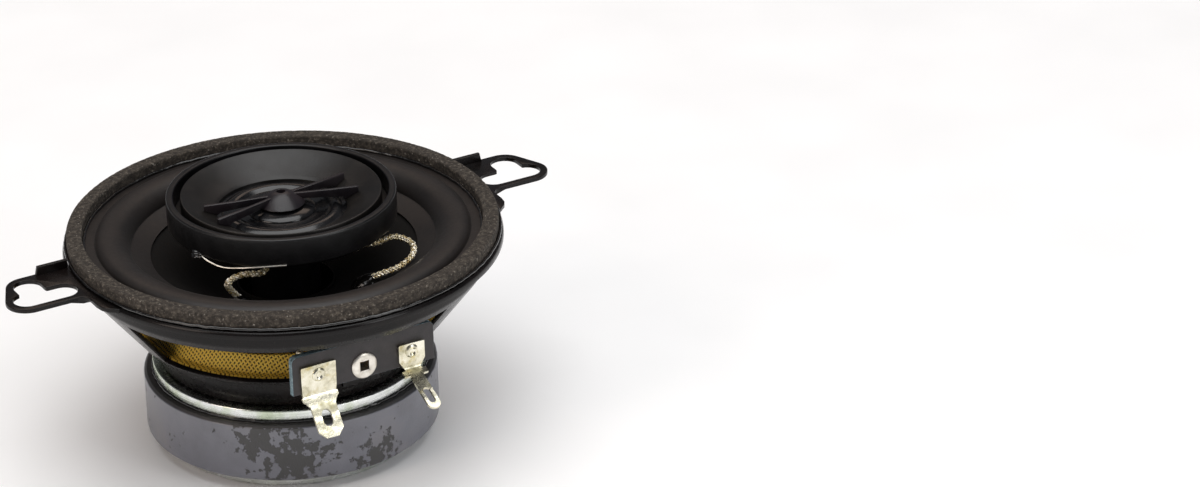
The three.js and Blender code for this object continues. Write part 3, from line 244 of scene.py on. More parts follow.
def woven_spider():
    """Plain-woven cotton set in amber resin: ochre threads over and under, with painted shade where each
    thread dips, a painted highlight on its crest, and painted shade filling the holes between them.
    """
    made, tree, shader, _ = surface("resin_set_cotton_weave", Roughness=0.62, IOR=1.5)
    cloth = add(tree, "UVMap", {"uv_map": "cloth"})["UV"]  # in millimetres of cloth
    axes = add(tree, "SeparateXYZ", {"Vector": cloth})
    ridges, swings = [], []
    for axis in ("X", "Y"):
        turn = add(tree, "Math", {"operation": "MULTIPLY", 0: axes[axis], 1: math.pi / THREAD_PITCH})["Value"]
        wave = add(tree, "Math", {"operation": "SINE", 0: turn})["Value"]
        ridges.append(add(tree, "Math", {"operation": "ABSOLUTE", 0: wave})["Value"])
        quarter_on = add(tree, "Math", {"operation": "ADD", 0: turn, 1: math.pi / 2})["Value"]
        swings.append(add(tree, "Math", {"operation": "SINE", 0: quarter_on})["Value"])
    crossing = add(tree, "Math", {"operation": "MULTIPLY", 0: swings[0], 1: swings[1]})["Value"]
    lift = add(tree, "Math", {"operation": "MULTIPLY", 0: crossing, 1: THREAD_LIFT})["Value"]
    warp = add(tree, "Math", {"operation": "ADD", 0: ridges[0], 1: lift})["Value"]
    weft = add(tree, "Math", {"operation": "SUBTRACT", 0: ridges[1], 1: lift})["Value"]
    height = add(tree, "Math", {"operation": "MAXIMUM", 0: warp, 1: weft})["Value"]
    covered = add(tree, "Math", {"operation": "MAXIMUM", 0: ridges[0], 1: ridges[1]})["Value"]
    # Painted shade and highlight: each thread's colour darkens where it dips under its neighbour and is
    # brightest on its crest.
    thread = add(tree, "ValToRGB", {"Fac": height},
                 [(0.35, "#8a6812"), (0.7, "#e0b62c"), (1.0, "#ffdc60")])["Color"]
    uneven = add(tree, "TexNoise", {"Vector": cloth, "Scale": 1 / 4, "Detail": 3, "Roughness": 0.55})["Fac"]
    resin = add(tree, "Math", {"operation": "MULTIPLY", 0: uneven, 1: 0.5})["Value"]
    tinted = add(tree, "Mix", {"data_type": "RGBA", "blend_type": "MULTIPLY", SHARE: resin, UNDER: thread,
                               OVER: "#b98b2a"})[BLENDED]
    # Painted shade: the holes between the threads take a near-black brown.
    holes = add(tree, "ValToRGB", {"Fac": covered}, [(0.48, 1.0), (0.7, 0.0)])["Color"]
    woven = add(tree, "Mix", {"data_type": "RGBA", SHARE: holes, UNDER: tinted, OVER: "#1c1206"})[BLENDED]
    relief = add(tree, "Bump", {"Height": height, "Distance": 0.2 * MM})["Normal"]
    feed(shader, Base_Color=woven, Normal=relief)
    return made


def zinc_plate(name, tint, amount):
    """Turned steel with clear passivated zinc: bright, faintly grooved, with green and straw tints."""
    made, tree, shader, place = surface(name, Metallic=1.0)
    round_and_round = add(tree, "Mapping", {"Vector": place, "Scale": (0.25, 0.25, 9)})["Vector"]
    grooves = add(tree, "TexNoise", {"Vector": round_and_round, "Scale": 1000 / 3, "Detail": 5,
                                     "Roughness": 0.7})["Fac"]
    cloud = add(tree, "TexNoise", {"Vector": place, "Scale": 1000 / 7, "Detail": 3, "Roughness": 0.55})["Fac"]
    haze = add(tree, "TexNoise", {"Vector": place, "Scale": 1000 / 1.5, "Detail": 4,
                                  "Roughness": 0.55})["Fac"]
    bloom = add(tree, "ValToRGB", {"Fac": cloud}, [(0.42, 0.0), (0.62, amount)])["Color"]
    bright = add(tree, "ValToRGB", {"Fac": grooves}, [(0.3, "#c6c9c8"), (0.7, "#fbfdfb")])["Color"]
    feed(shader,
         Base_Color=add(tree, "Mix", {"data_type": "RGBA", SHARE: bloom, UNDER: bright, OVER: tint})[BLENDED],
         Roughness=add(tree, "ValToRGB", {"Fac": haze}, [(0.3, 0.16), (0.7, 0.34)])["Color"],
         Normal=add(tree, "Bump", {"Height": grooves, "Distance": 0.04 * MM})["Normal"])
    return made


# Where the ferrite's coat has come away: degrees from the front, share of the height, reach in mm.
FLAKES = ((-39, 0.8, 8), (-25, 0.35, 11), (8, 0.1, 8))
BARE_EDGE = 0.45  # height in mm of the upper rim that has no sealer


def sintered_ferrite(outer_r, z0, z1):
    """Ground barium ferrite with a thin grey sealer that has flaked off in dark islands near the foot."""
    made, tree, shader, place = surface("ground_sintered_ferrite", IOR=1.9)
    cloud = add(tree, "TexNoise", {"Vector": place, "Scale": 1000 / 11, "Detail": 4,
                                   "Roughness": 0.55})["Fac"]
    ragged = add(tree, "TexNoise", {"Vector": place, "Scale": 1000 / 1.9, "Detail": 6,
                                    "Roughness": 0.62})["Fac"]
    grain = add(tree, "TexNoise", {"Vector": place, "Scale": 1000 / 0.5, "Detail": 3,
                                   "Roughness": 0.55})["Fac"]
    sealer = add(tree, "ValToRGB", {"Fac": cloud},
                 [(0.3, "#50505a"), (0.55, "#62636d"), (0.75, "#6c6a70")])["Color"]
    near = 0.0
    for angle, height, reach in FLAKES:
        a = math.radians(angle)
        centre = (outer_r * math.sin(a) * MM, -outer_r * math.cos(a) * MM, (z0 + (z1 - z0) * height) * MM)
        away = add(tree, "VectorMath", {"operation": "DISTANCE", 0: place, 1: centre})["Value"]
        share = add(tree, "Math", {"operation": "MULTIPLY", 0: away, 1: 1000 / reach})["Value"]
        patch = add(tree, "Math", {"operation": "SUBTRACT", "use_clamp": True, 0: 1.0, 1: share})["Value"]
        near = add(tree, "Math", {"operation": "MAXIMUM", 0: near, 1: patch})["Value"]
    weak = add(tree, "Math", {"operation": "MULTIPLY", 0: near, 1: 0.3})["Value"]
    broken = add(tree, "Math", {"operation": "ADD", 0: ragged, 1: weak})["Value"]
    flaked = add(tree, "ValToRGB", {"Fac": broken}, [(0.645, 0.0), (0.66, 1.0)])["Color"]
    up = add(tree, "SeparateXYZ", {"Vector": place})["Z"]
    rim = add(tree, "Math", {"operation": "GREATER_THAN", 0: up, 1: (z1 - BARE_EDGE) * MM})["Value"]
    bare = add(tree, "Math", {"operation": "MAXIMUM", 0: flaked, 1: rim})["Value"]
    colour = add(tree, "Mix", {"data_type": "RGBA", SHARE: bare, UNDER: sealer, OVER: "#1b191a"})[BLENDED]
    dull = add(tree, "Mix", {"data_type": "RGBA", SHARE: bare, UNDER: (0.3, 0.3, 0.3, 1),
                             OVER: (0.55, 0.55, 0.55, 1)})[BLENDED]
    sunk = add(tree, "Math", {"operation": "MULTIPLY", 0: flaked, 1: 1.5})["Value"]
    level = add(tree, "Math", {"operation": "SUBTRACT", 0: grain, 1: sunk})["Value"]
    relief = add(tree, "Bump", {"Height": level, "Distance": 0.05 * MM})["Normal"]
    feed(shader, Base_Color=colour, Roughness=dull, Normal=relief)
    return made


def phenolic_board():
    """Punched phenolic paper laminate: brown-black faces and rough blue-grey cut edges, brightened towards
    white as a painted highlight.
    """
    made, tree, shader, place = surface("punched_phenolic_laminate", IOR=1.6)
    facing = add(tree, "SeparateXYZ", {"Vector": add(tree, "NewGeometry", {})["Normal"]})["Y"]
    flat = add(tree, "Math", {"operation": "ABSOLUTE", 0: facing})["Value"]
    edge = add(tree, "Math", {"operation": "LESS_THAN", 0: flat, 1: 0.8})["Value"]
    mottle = add(tree, "TexNoise", {"Vector": place, "Scale": 1000 / 2, "Detail": 5,
                                    "Roughness": 0.55})["Fac"]
    torn = add(tree, "TexNoise", {"Vector": place, "Scale": 1000 / 0.5, "Detail": 4, "Roughness": 0.7})["Fac"]
    grain = add(tree, "TexNoise", {"Vector": place, "Scale": 1000 / 0.4, "Detail": 4,
                                   "Roughness": 0.55})["Fac"]
    face = add(tree, "ValToRGB", {"Fac": mottle}, [(0.3, "#150f10"), (0.7, "#271f21")])["Color"]
    # The cut edges' blue-grey is their own colour; the near-white upper stops are a painted highlight along
    # them.
    cut = add(tree, "ValToRGB", {"Fac": torn},
              [(0.35, "#3a4d55"), (0.6, "#7f98a1"), (0.75, "#dfe8ea")])["Color"]
    colour = add(tree, "Mix", {"data_type": "RGBA", SHARE: edge, UNDER: face, OVER: cut})[BLENDED]
    dull = add(tree, "Mix", {"data_type": "RGBA", SHARE: edge, UNDER: (0.5, 0.5, 0.5, 1),
                             OVER: (0.75, 0.75, 0.75, 1)})[BLENDED]
    relief = add(tree, "Bump", {"Height": grain, "Distance": 0.06 * MM})["Normal"]
    feed(shader, Base_Color=colour, Roughness=dull, Normal=relief)
    return made


def tinned_brass():
    """Stamped brass dipped in tin: bright and uneven, with straw tints where flux has dried."""
    made, tree, shader, place = surface("hot_tinned_brass", Metallic=1.0)
    pools = add(tree, "TexNoise", {"Vector": place, "Scale": 1000 / 3.2, "Detail": 4,
                                   "Roughness": 0.6})["Fac"]
    dried = add(tree, "TexNoise", {"Vector": place, "Scale": 1000 / 2.1, "Detail": 3,
                                   "Roughness": 0.55})["Fac"]
    tin = add(tree, "ValToRGB", {"Fac": pools},
              [(0.3, "#a5a082"), (0.5, "#e6e1ca"), (0.75, "#fffcef")])["Color"]
    flux = add(tree, "ValToRGB", {"Fac": dried}, [(0.55, 0.0), (0.72, 0.6)])["Color"]
    feed(shader,
         Base_Color=add(tree, "Mix", {"data_type": "RGBA", SHARE: flux, UNDER: tin,
                                      OVER: "#b9a75e"})[BLENDED],
         Roughness=add(tree, "ValToRGB", {"Fac": pools}, [(0.3, 0.34), (0.7, 0.16)])["Color"],
         Normal=add(tree, "Bump", {"Height": pools, "Distance": 0.07 * MM})["Normal"])
    return made


def dull_plate(name):
    """Drawn brass or copper with dull nickel or tin on it: pale, and softly shining where it has worn."""
    made, tree, shader, place = surface(name, Metallic=1.0)
    worn = add(tree, "TexNoise", {"Vector": place, "Scale": 1000 / 1.4, "Detail": 4,
                                  "Roughness": 0.55})["Fac"]
    feed(shader,
         Base_Color=add(tree, "ValToRGB", {"Fac": worn}, [(0.3, "#cfc9bd"), (0.7, "#f2eee4")])["Color"],
         Roughness=add(tree, "ValToRGB", {"Fac": worn}, [(0.3, 0.4), (0.7, 0.28)])["Color"],
         Normal=add(tree, "Bump", {"Height": worn, "Distance": 0.03 * MM})["Normal"])
    return made


def tinsel_braid():
    """Braided tinsel conductor: silver foil strands with tarnished straw ones among them."""
    made, tree, shader, place = surface("braided_tinsel", Metallic=0.9, Roughness=0.34)
    strand = add(tree, "TexNoise", {"Vector": place, "Scale": 1000 / 0.7, "Detail": 2,
                                    "Roughness": 0.55})["Fac"]
    crimp = add(tree, "TexNoise", {"Vector": place, "Scale": 1000 / 0.15, "Detail": 2,
                                   "Roughness": 0.55})["Fac"]
    foil = [(0.35, "#b39c68"), (0.5, "#e6dcc0"), (0.65, "#fffaf0")]
    feed(shader,
         Base_Color=add(tree, "ValToRGB", {"Fac": strand}, foil)["Color"],
         Normal=add(tree, "Bump", {"Height": crimp, "Distance": 0.03 * MM})["Normal"])
    return made


def glossy_film():
    """Thermoformed polyester film: near-black and glossy, so each pressed ridge draws a thin light ring."""
    made, tree, shader, place = surface(
        "thermoformed_polyester_film", IOR=1.6, Specular_IOR_Level=0.36, Coat_Weight=0.12,
        Coat_Roughness=0.06)
    haze = add(tree, "TexNoise", {"Vector": place, "Scale": 1000 / 3, "Detail": 3, "Roughness": 0.55})["Fac"]
    feed(shader,
         Base_Color=add(tree, "ValToRGB", {"Fac": haze}, [(0.3, "#070708"), (0.7, "#101012")])["Color"],
         Roughness=add(tree, "ValToRGB", {"Fac": haze}, [(0.3, 0.14), (0.7, 0.24)])["Color"])
    return made


def black_adhesive():
    """Cured rubber adhesive squeezed out of a joint: wet-looking black with sharp highlights."""
    made, tree, shader, place = surface("cured_black_adhesive", IOR=1.5, Coat_Weight=0.5, Coat_Roughness=0.06)
    lumps = add(tree, "TexNoise", {"Vector": place, "Scale": 1000 / 1.2, "Detail": 3,
                                   "Roughness": 0.55})["Fac"]
    feed(shader,
         Base_Color=add(tree, "ValToRGB", {"Fac": lumps}, [(0.3, "#060505"), (0.7, "#141211")])["Color"],
         Roughness=add(tree, "ValToRGB", {"Fac": lumps}, [(0.3, 0.12), (0.7, 0.28)])["Color"],
         Normal=add(tree, "Bump", {"Height": lumps, "Distance": 0.15 * MM})["Normal"])
    return made


WIRE_PITCH = 0.25  # mm from one turn of the voice coil to the next
WAVE_PER_BAND = 20  # a wave texture draws 20 bands to the unit at scale 1


def wound_copper():
    """Enamelled copper wire in close turns: orange-brown with one groove for each turn, and painted shade
    darkening each groove.
    """
    made, tree, shader, place = surface("enamelled_copper_winding", Metallic=1.0, Roughness=0.3)
    turns = add(tree, "TexWave", {"Vector": place, "bands_direction": "Z", "Distortion": 0.4,
                                  "Scale": 1000 / WIRE_PITCH / WAVE_PER_BAND})["Fac"]
    # Painted shade: the colour darkens to deep brown in the groove between each pair of turns.
    feed(shader,
         Base_Color=add(tree, "ValToRGB", {"Fac": turns}, [(0.0, "#6b3312"), (0.6, "#b8662c")])["Color"],
         Normal=add(tree, "Bump", {"Height": turns, "Distance": 0.08 * MM})["Normal"])
    return made


def paper_former():
    """Black kraft paper wound into a tube: dull, with the faint bands of its winding."""
    made, tree, shader, place = surface("wound_black_kraft_paper", IOR=1.5, Specular_IOR_Level=0.3)
    wound = add(tree, "Mapping", {"Vector": place, "Scale": (0.3, 0.3, 4)})["Vector"]
    bands = add(tree, "TexNoise", {"Vector": wound, "Scale": 1000 / 2, "Detail": 3, "Roughness": 0.5})["Fac"]
    feed(shader,
         Base_Color=add(tree, "ValToRGB", {"Fac": bands}, [(0.3, "#070606"), (0.7, "#14110f")])["Color"],
         Roughness=add(tree, "ValToRGB", {"Fac": bands}, [(0.3, 0.6), (0.7, 0.8)])["Color"])
    return made


def capacitor_sleeve():
    """Shrunk PVC sleeve on a small electrolytic capacitor: plain blue, slightly rippled."""
    made, tree, shader, place = surface("shrunk_pvc_sleeve", IOR=1.54)
    ripple = add(tree, "TexNoise", {"Vector": place, "Scale": 1000 / 1.5, "Detail": 3,
                                    "Roughness": 0.55})["Fac"]
    feed(shader,
         Base_Color=add(tree, "ValToRGB", {"Fac": ripple}, [(0.3, "#1c3563"), (0.7, "#2b4f8c")])["Color"],
         Roughness=add(tree, "ValToRGB", {"Fac": ripple}, [(0.3, 0.3), (0.7, 0.45)])["Color"],
         Normal=add(tree, "Bump", {"Height": ripple, "Distance": 0.05 * MM})["Normal"])
    return made


def matt_floor():
    """Seamless paper sweep: plain white, with the slightest tooth."""
    made, tree, shader, place = surface("white_paper_sweep", Roughness=0.95, IOR=1.45)
    tooth = add(tree, "TexNoise", {"Vector": place, "Scale": 1000 / 40, "Detail": 2,
                                   "Roughness": 0.55})["Fac"]
    feed(shader, Base_Color=add(tree, "ValToRGB", {"Fac": tooth},
                                [(0.3, "#fafafa"), (0.7, "#ffffff")])["Color"])
    return made


# ------------------------------------------------------------------ mesh helpers

def piece(name, made_mesh, look, body, replaced=(), sharp=35):
    """Puts a bmesh in the scene as a named piece on a body; an edge over sharp degrees stays crisp."""
    bmesh.ops.remove_doubles(made_mesh, verts=made_mesh.verts, dist=1e-7)
    bmesh.ops.dissolve_degenerate(made_mesh, edges=made_mesh.edges, dist=1e-8)
    bmesh.ops.recalc_face_normals(made_mesh, faces=made_mesh.faces)
    for face in made_mesh.faces:
        face.smooth = True
    for edge in made_mesh.edges:
        edge.smooth = len(edge.link_faces) == 2 and edge.calc_face_angle(0) < math.radians(sharp)
    data = bpy.data.meshes.new(name)
    made_mesh.to_mesh(data)
    made_mesh.free()
    made = bpy.data.objects.new(name, data)
    bpy.context.scene.collection.objects.link(made)
    data.materials.append(look)
    if body:
        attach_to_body(made, body)
    if replaced:
        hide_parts(*replaced)
    return made


def applied(made):
    """The piece with its modifiers made part of its mesh."""
    shown = made.evaluated_get(bpy.context.evaluated_depsgraph_get())
    data = bpy.data.meshes.new_from_object(shown)
    made.modifiers.clear()
    made.data = data
    return made


def filleted(path, radius, steps=5, closed=False):
    """A polyline with its corners rounded; radius is one number, or one for each corner."""
    count = len(path)
    radii = radius if isinstance(radius, (list, tuple)) else [radius] * count
    made = []
    for i, corner in enumerate(path):
        if (not closed and i in (0, count - 1)) or radii[i] <= 0 or corner[0] == 0:
            made.append(tuple(corner))
            continue
        here = Vector(corner)
        before, after = Vector(path[i - 1]) - here, Vector(path[(i + 1) % count]) - here
        turn = before.angle(after)
        cut = min(radii[i] / math.tan(turn / 2), 0.45 * before.length, 0.45 * after.length)
        start, end = here + before.normalized() * cut, here + after.normalized() * cut
        for s in range(steps + 1):
            t = s / steps
            made.append(tuple(start * (1 - t) ** 2 + here * 2 * t * (1 - t) + end * t * t))
    return made


def sheet_loop(path, thickness):
    """The closed profile of a sheet of even thickness along a path."""
    points = [Vector(p) for p in path]
    sides = ([], [])
    for i, p in enumerate(points):
        along = (points[min(i + 1, len(points) - 1)] - points[max(i - 1, 0)]).normalized()
        across = Vector((along.y, -along.x)) * thickness / 2
        sides[0].append(tuple(p + across))
        sides[1].append(tuple(p - across))
    return sides[0] + sides[1][::-1]


def turned(profile, sides=SIDES, shape=None, closed=True):
    """A profile of (radius, height) points in mm turned about Z; shape(r, z, angle) may move a point."""
    made = bmesh.new()
    rows = []
    for r, z in profile:
        if r <= 1e-6:
            rows.append([made.verts.new((0, 0, z * MM))] * sides)
            continue
        row = []
        for i in range(sides):
            a = 2 * math.pi * i / sides
            rr, zz = shape(r, z, a) if shape else (r, z)
            row.append(made.verts.new((rr * math.sin(a) * MM, -rr * math.cos(a) * MM, zz * MM)))
        rows.append(row)
    for j in range(len(rows) if closed else len(rows) - 1):
        one, two = rows[j], rows[(j + 1) % len(rows)]
        for i in range(sides):
            k = (i + 1) % sides
            corners = list(dict.fromkeys([one[i], one[k], two[k], two[i]]))
            if len(corners) > 2:
                made.faces.new(corners)
    return made


def moved(made_mesh, matrix):
    bmesh.ops.transform(made_mesh, matrix=matrix, verts=made_mesh.verts)
    return made_mesh


def joined(first, *others):
    for other in others:
        data = bpy.data.meshes.new("part")
        other.to_mesh(data)
        other.free()
        first.from_mesh(data)
        bpy.data.meshes.remove(data)
    return first


def punched(outline, holes, thickness, rounding):
    """A punched plate with rounded arrises, from an outline and holes in mm, standing on z = 0."""
    curve = bpy.data.curves.new("outline", "CURVE")
    curve.dimensions, curve.fill_mode = "2D", "BOTH"
    for points in [outline, *holes]:
        spline = curve.splines.new("POLY")
        spline.points.add(len(points) - 1)
        spline.points.foreach_set("co", [v for x, y in points for v in (x * MM, y * MM, 0, 1)])
        spline.use_cyclic_u = True
    curve.extrude = (thickness / 2 - rounding) * MM
    curve.bevel_depth, curve.bevel_resolution, curve.offset = rounding * MM, 2, -rounding * MM
    holder = bpy.data.objects.new("outline", curve)
    bpy.context.scene.collection.objects.link(holder)
    data = bpy.data.meshes.new_from_object(holder.evaluated_get(bpy.context.evaluated_depsgraph_get()))
    bpy.data.objects.remove(holder)
    made = bmesh.new()
    made.from_mesh(data)
    bpy.data.meshes.remove(data)
    bmesh.ops.remove_doubles(made, verts=made.verts, dist=1e-7)
    return moved(made, Matrix.Translation((0, 0, thickness / 2 * MM)))


def arc(cx, cy, r, start, end, steps=10):
    """Points on an arc; the angles are in degrees."""
    turns = [math.radians(start + (end - start) * i / steps) for i in range(steps + 1)]
    return [(cx + r * math.cos(t), cy + r * math.sin(t)) for t in turns]


def place_of(node):
    """Outer radius along X, lowest and highest point of a CAD node, in mm."""
    low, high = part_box(node)
    return high.x / MM, low.z / MM, high.z / MM


def middle_of(node):
    """The middle of a CAD node's box, in mm."""
    low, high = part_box(node)
    return (low + high) / 2 / MM


def follow(made, share_of):
    """Bakes a piece's placement into its mesh and works out each point's eased share of the moving body's
    travel, which share_of gives; the shares are not used, so nothing bends.
    """
    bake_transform(made)
    points = np.array([v.co for v in made.data.vertices], float).reshape(-1, 3) / MM
    share = np.clip(share_of(points), 0, 1)
    share = share * share * (3 - 2 * share)


def wander(x, y, z, size, seed):
    """Smooth unevenness from -1 to 1 for a point in mm, in lumps of that size."""
    return noise.noise(Vector((x / size, y / size, z / size + 7.3 * seed)))


# ------------------------------------------------------------------ motor

_, _, FLOOR_Z = place_of("top_plate")  # underside of the basket's floor
FLANGE_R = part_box("basket")[1].y / MM
FLANGE_Z = place_of("mounting_gasket")[1] - 0.5  # the front of the flange
SHEET = 0.9  # steel thickness
POLE_R, POLE_BORE_R, POLE_BORE_DEPTH = 9.4, 1.6, 9.1
MAGNET_BORE_R, MAGNET_CHAMFER = 12.4, 0.6
GAP_R = 10.7  # hole in the top plate, round the coil
INSIDE_R = 20  # chips and nicks are only on faces outside this radius


def build_motor():
    plate_r, z0, pole_top = place_of("t_yoke")
    magnet_r, magnet_z0, magnet_z1 = place_of("ferrite_magnet")
    bore_foot = pole_top - POLE_BORE_DEPTH
    yoke = filleted([(0, z0), (plate_r, z0), (plate_r, magnet_z0), (POLE_R, magnet_z0), (POLE_R, pole_top),
                     (POLE_BORE_R, pole_top), (POLE_BORE_R, bore_foot), (0, bore_foot)],
                    [0, 0.4, 0.3, 0, 0.3, 0, 0, 0], closed=True)
    zinc = zinc_plate("zinc_plated_steel", "#8fa04c", 0.15)
    piece("turned_back_plate_and_pole", turned(yoke), zinc, "chassis", ["t_yoke"])

    def chipped(r, z, a):
        return r - (0.1 if r > INSIDE_R else 0) * max(0, wander(30 * a, z, 0, 2.2, 1)), z

    c = MAGNET_CHAMFER
    ferrite = filleted([(MAGNET_BORE_R, magnet_z0), (magnet_r - c, magnet_z0), (magnet_r, magnet_z0 + c),
                        (magnet_r, magnet_z1 - c), (magnet_r - c, magnet_z1), (MAGNET_BORE_R, magnet_z1)],
                       0.25, closed=True)
    piece("sintered_ring_magnet", turned(ferrite, shape=chipped),
          sintered_ferrite(magnet_r, magnet_z0, magnet_z1), "chassis", ["ferrite_magnet"])

    def nicked(r, z, a):
        return r - (0.07 if r > INSIDE_R else 0) * max(0, wander(40 * a, 2 * z, 0, 1.7, 2)), z

    plate_r, z0, z1 = place_of("top_plate")
    front = filleted([(GAP_R, z0), (plate_r, z0), (plate_r, z1), (GAP_R, z1)], 0.35, closed=True)
    piece("turned_top_plate", turned(front, shape=nicked),
          zinc_plate("scuffed_zinc_plated_steel", "#7f9a3a", 0.45), "chassis", ["top_plate"])

    def squeezed_out(r, z, a):
        return r + (0.35 * wander(28 * a, 0, 0, 1.6, 3) if r > 28 else 0), z

    line = filleted([(27.2, z0 - 0.02), (28.5, z0 - 0.02), (28.35, z0 + 0.5), (27.9, z0 + 0.6)],
                    0.12, 2, closed=True)
    piece("magnet_glue_line", turned(line, shape=squeezed_out), ADHESIVE, "chassis")


# ------------------------------------------------------------------ basket and gasket

WINDOW_BOTTOM, WINDOW_TOP = 26.72, 37.8
LEG_ANGLES, LEG_HALF = (35, 155, 275), 9  # degrees from the front
LEDGE_Z = FLOOR_Z + 8.1  # the step that the spider is glued to
SLOT_W, TAB_RIM = 5.9, 1.5
TAB_TIP = (55.95, 0)  # centre of the screw slot's outer end
CROSS_END, CROSS_W = (53.7, 5.35), 5.7  # centre and width of the slot's side lobe
BOARD_T = 1.5  # thickness of the terminal board
UPRIGHT = Matrix.Rotation(math.pi / 2, 4, "X")  # stands a flat plate up with its top face to the front


def in_window(angle, z):
    """True for a point of the basket's wall that the press has cut away."""
    near_leg = any(abs((angle - leg + 180) % 360 - 180) < LEG_HALF for leg in LEG_ANGLES)
    return WINDOW_BOTTOM < z < WINDOW_TOP and not near_leg


def basket_shell():
    band_r, front = FLANGE_R - 3.2, FLANGE_Z - SHEET / 2
    lip_r = FLANGE_R - SHEET / 2
    floor = FLOOR_Z + SHEET / 2
    corners = [(15, floor), (26.1, floor), (28.6, LEDGE_Z), (31.2, LEDGE_Z), (40.4, FLANGE_Z - 5.9),
               (band_r, FLANGE_Z - 4.6), (band_r, front - 0.3), (band_r + 0.3, front), (lip_r, front),
               (lip_r, FLANGE_Z - 1.6)]
    path = filleted(corners, [0, 1.5, 0.9, 0.6, 1.2, 0.8, 0.4, 0.4, 0.55, 0], 4)
    dense = []
    for (r0, z0), (r1, z1) in zip(path, path[1:]):
        cuts = [(h - z0) / (z1 - z0) for h in (WINDOW_BOTTOM, WINDOW_TOP) if z0 < h < z1]
        stops = sorted({0.0, *cuts})
        dense += [(r0 + (r1 - r0) * t, z0 + (z1 - z0) * t) for t in stops]
    dense.append(path[-1])
    made = turned(dense, closed=False)
    gone = []
    for face in made.faces:
        centre = face.calc_center_median() / MM
        if in_window(math.degrees(math.atan2(centre.x, -centre.y)), centre.z):
            gone.append(face)
    bmesh.ops.delete(made, geom=gone, context="FACES")
    return made


def tab_plate():
    """The tab on the right, with its keyhole slot, upright fold and small lip."""
    tip_r = SLOT_W / 2 + TAB_RIM
    cross_r = CROSS_W / 2 + TAB_RIM
    dx, dy = CROSS_END[0] - TAB_TIP[0], CROSS_END[1] - TAB_TIP[1]
    tangent = math.degrees(math.atan2(dy, dx) - math.acos((tip_r - cross_r) / math.hypot(dx, dy)))
    shoulder, fillet, root = FLANGE_R + 0.8, 2, FLANGE_R - 2.3
    outline = [(root, -13.6), (shoulder - 2.8, -13.6), (shoulder - 1, -12), (shoulder - 0.3, -10.8),
               (shoulder, -9)]
    outline += arc(shoulder + fillet, -tip_r - fillet, fillet, 180, 90)
    outline += arc(*TAB_TIP, tip_r, -90, tangent, 16)
    outline += arc(*CROSS_END, cross_r, tangent, 90)
    outline += [(root, CROSS_END[1] + cross_r)]
    w, c = SLOT_W / 2, CROSS_W / 2
    meet = math.degrees(math.acos((CROSS_END[0] + c - TAB_TIP[0]) / w))
    inner = FLANGE_R + 1 + w
    hole = arc(*TAB_TIP, w, meet, -90, 14) + arc(inner, 0, w, 270, 90, 16)
    hole += [(CROSS_END[0] - c - 0.5, w), (CROSS_END[0] - c - 0.12, w + 0.14), (CROSS_END[0] - c, w + 0.6)]
    hole += arc(*CROSS_END, c, 180, 0, 14)
    made = punched(outline, [hole], SHEET, 0.14)
    moved(made, Matrix.Translation((0, 0, (FLANGE_Z - SHEET - 0.02) * MM)))
    top_y = CROSS_END[1] + cross_r
    fold = punched([(FLANGE_R - 1, 0), (FLANGE_R + 6, 0), (FLANGE_R + 5.4, 2.68), (FLANGE_R - 1, 2.68)],
                   [], SHEET, 0.2)
    moved(fold, Matrix.Translation((0, top_y * MM, (FLANGE_Z - SHEET) * MM)) @ UPRIGHT)
    lip = punched([(FLANGE_R - 0.4, -0.9), (FLANGE_R + 1.6, -0.8), (FLANGE_R + 4.6, 0.1),
                   (FLANGE_R + 4.6, 0.8), (FLANGE_R - 0.4, 0.8)], [], SHEET, 0.18)
    moved(lip, Matrix.Translation((0, (SHEET - tip_r) * MM, (FLANGE_Z - SHEET) * MM)) @ UPRIGHT)
    return joined(made, fold, lip)


def basket_ear():
    """The ear behind the terminal board, folded up from the ledge."""
    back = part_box("terminal_board")[0].y / MM + BOARD_T
    under = LEDGE_Z - SHEET / 2
    middle = middle_of("terminal_eyelet").x
    stand = punched([(-4, 0), (4, 0), (4, 6.1), (3.5, 6.6), (-3.5, 6.6), (-4, 6.1)],
                    [arc(0, 4.7, 1.6, 0, 345, 22)], SHEET, 0.15)
    moved(stand, Matrix.Translation((middle * MM, (back + SHEET) * MM, under * MM)) @ UPRIGHT)
    foot = punched([(-4, back), (4, back), (4, -29.5), (-4, -29.5)], [], SHEET, 0.15)
    return joined(stand, moved(foot, Matrix.Translation((middle * MM, 0, under * MM))))


def build_basket():
    steel = coated_steel()
    shell = piece("shell", basket_shell(), steel, None)
    thick = shell.modifiers.new("sheet", "SOLIDIFY")
    thick.thickness, thick.offset, thick.use_even_offset = SHEET * MM, 0, True
    arris = shell.modifiers.new("arris", "BEVEL")
    arris.width, arris.segments, arris.limit_method = 0.14 * MM, 2, "ANGLE"
    arris.angle_limit = math.radians(50)
    applied(shell)
    whole = bmesh.new()
    whole.from_mesh(shell.data)
    bpy.data.objects.remove(shell)
    joined(whole, tab_plate(), moved(tab_plate(), Matrix.Scale(-1, 4, (1, 0, 0))), basket_ear())
    piece("pressed_basket", whole, steel, "chassis", ["basket"])
    zinc = zinc_plate("zinc_plated_rivet", "#8fa04c", 0.55)
    for i in range(1, 5):
        name = f"basket_rivet_{i}"
        low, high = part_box(name)
        head = filleted([(0, low.z / MM), (1.4, low.z / MM), (1.4, FLOOR_Z + SHEET),
                         (2.3, FLOOR_Z + SHEET), (1.9, high.z / MM), (0, high.z / MM)],
                        [0, 0, 0, 0.1, 0.5, 0], closed=True)
        rivet = turned(head, SMALL_SIDES)
        centre = (low + high) / 2
        moved(rivet, Matrix.Translation((centre.x, centre.y, 0)))
        piece(f"peened_rivet_{i}", rivet, zinc, "chassis", [name])


GASKET_WIDTH = 3.2


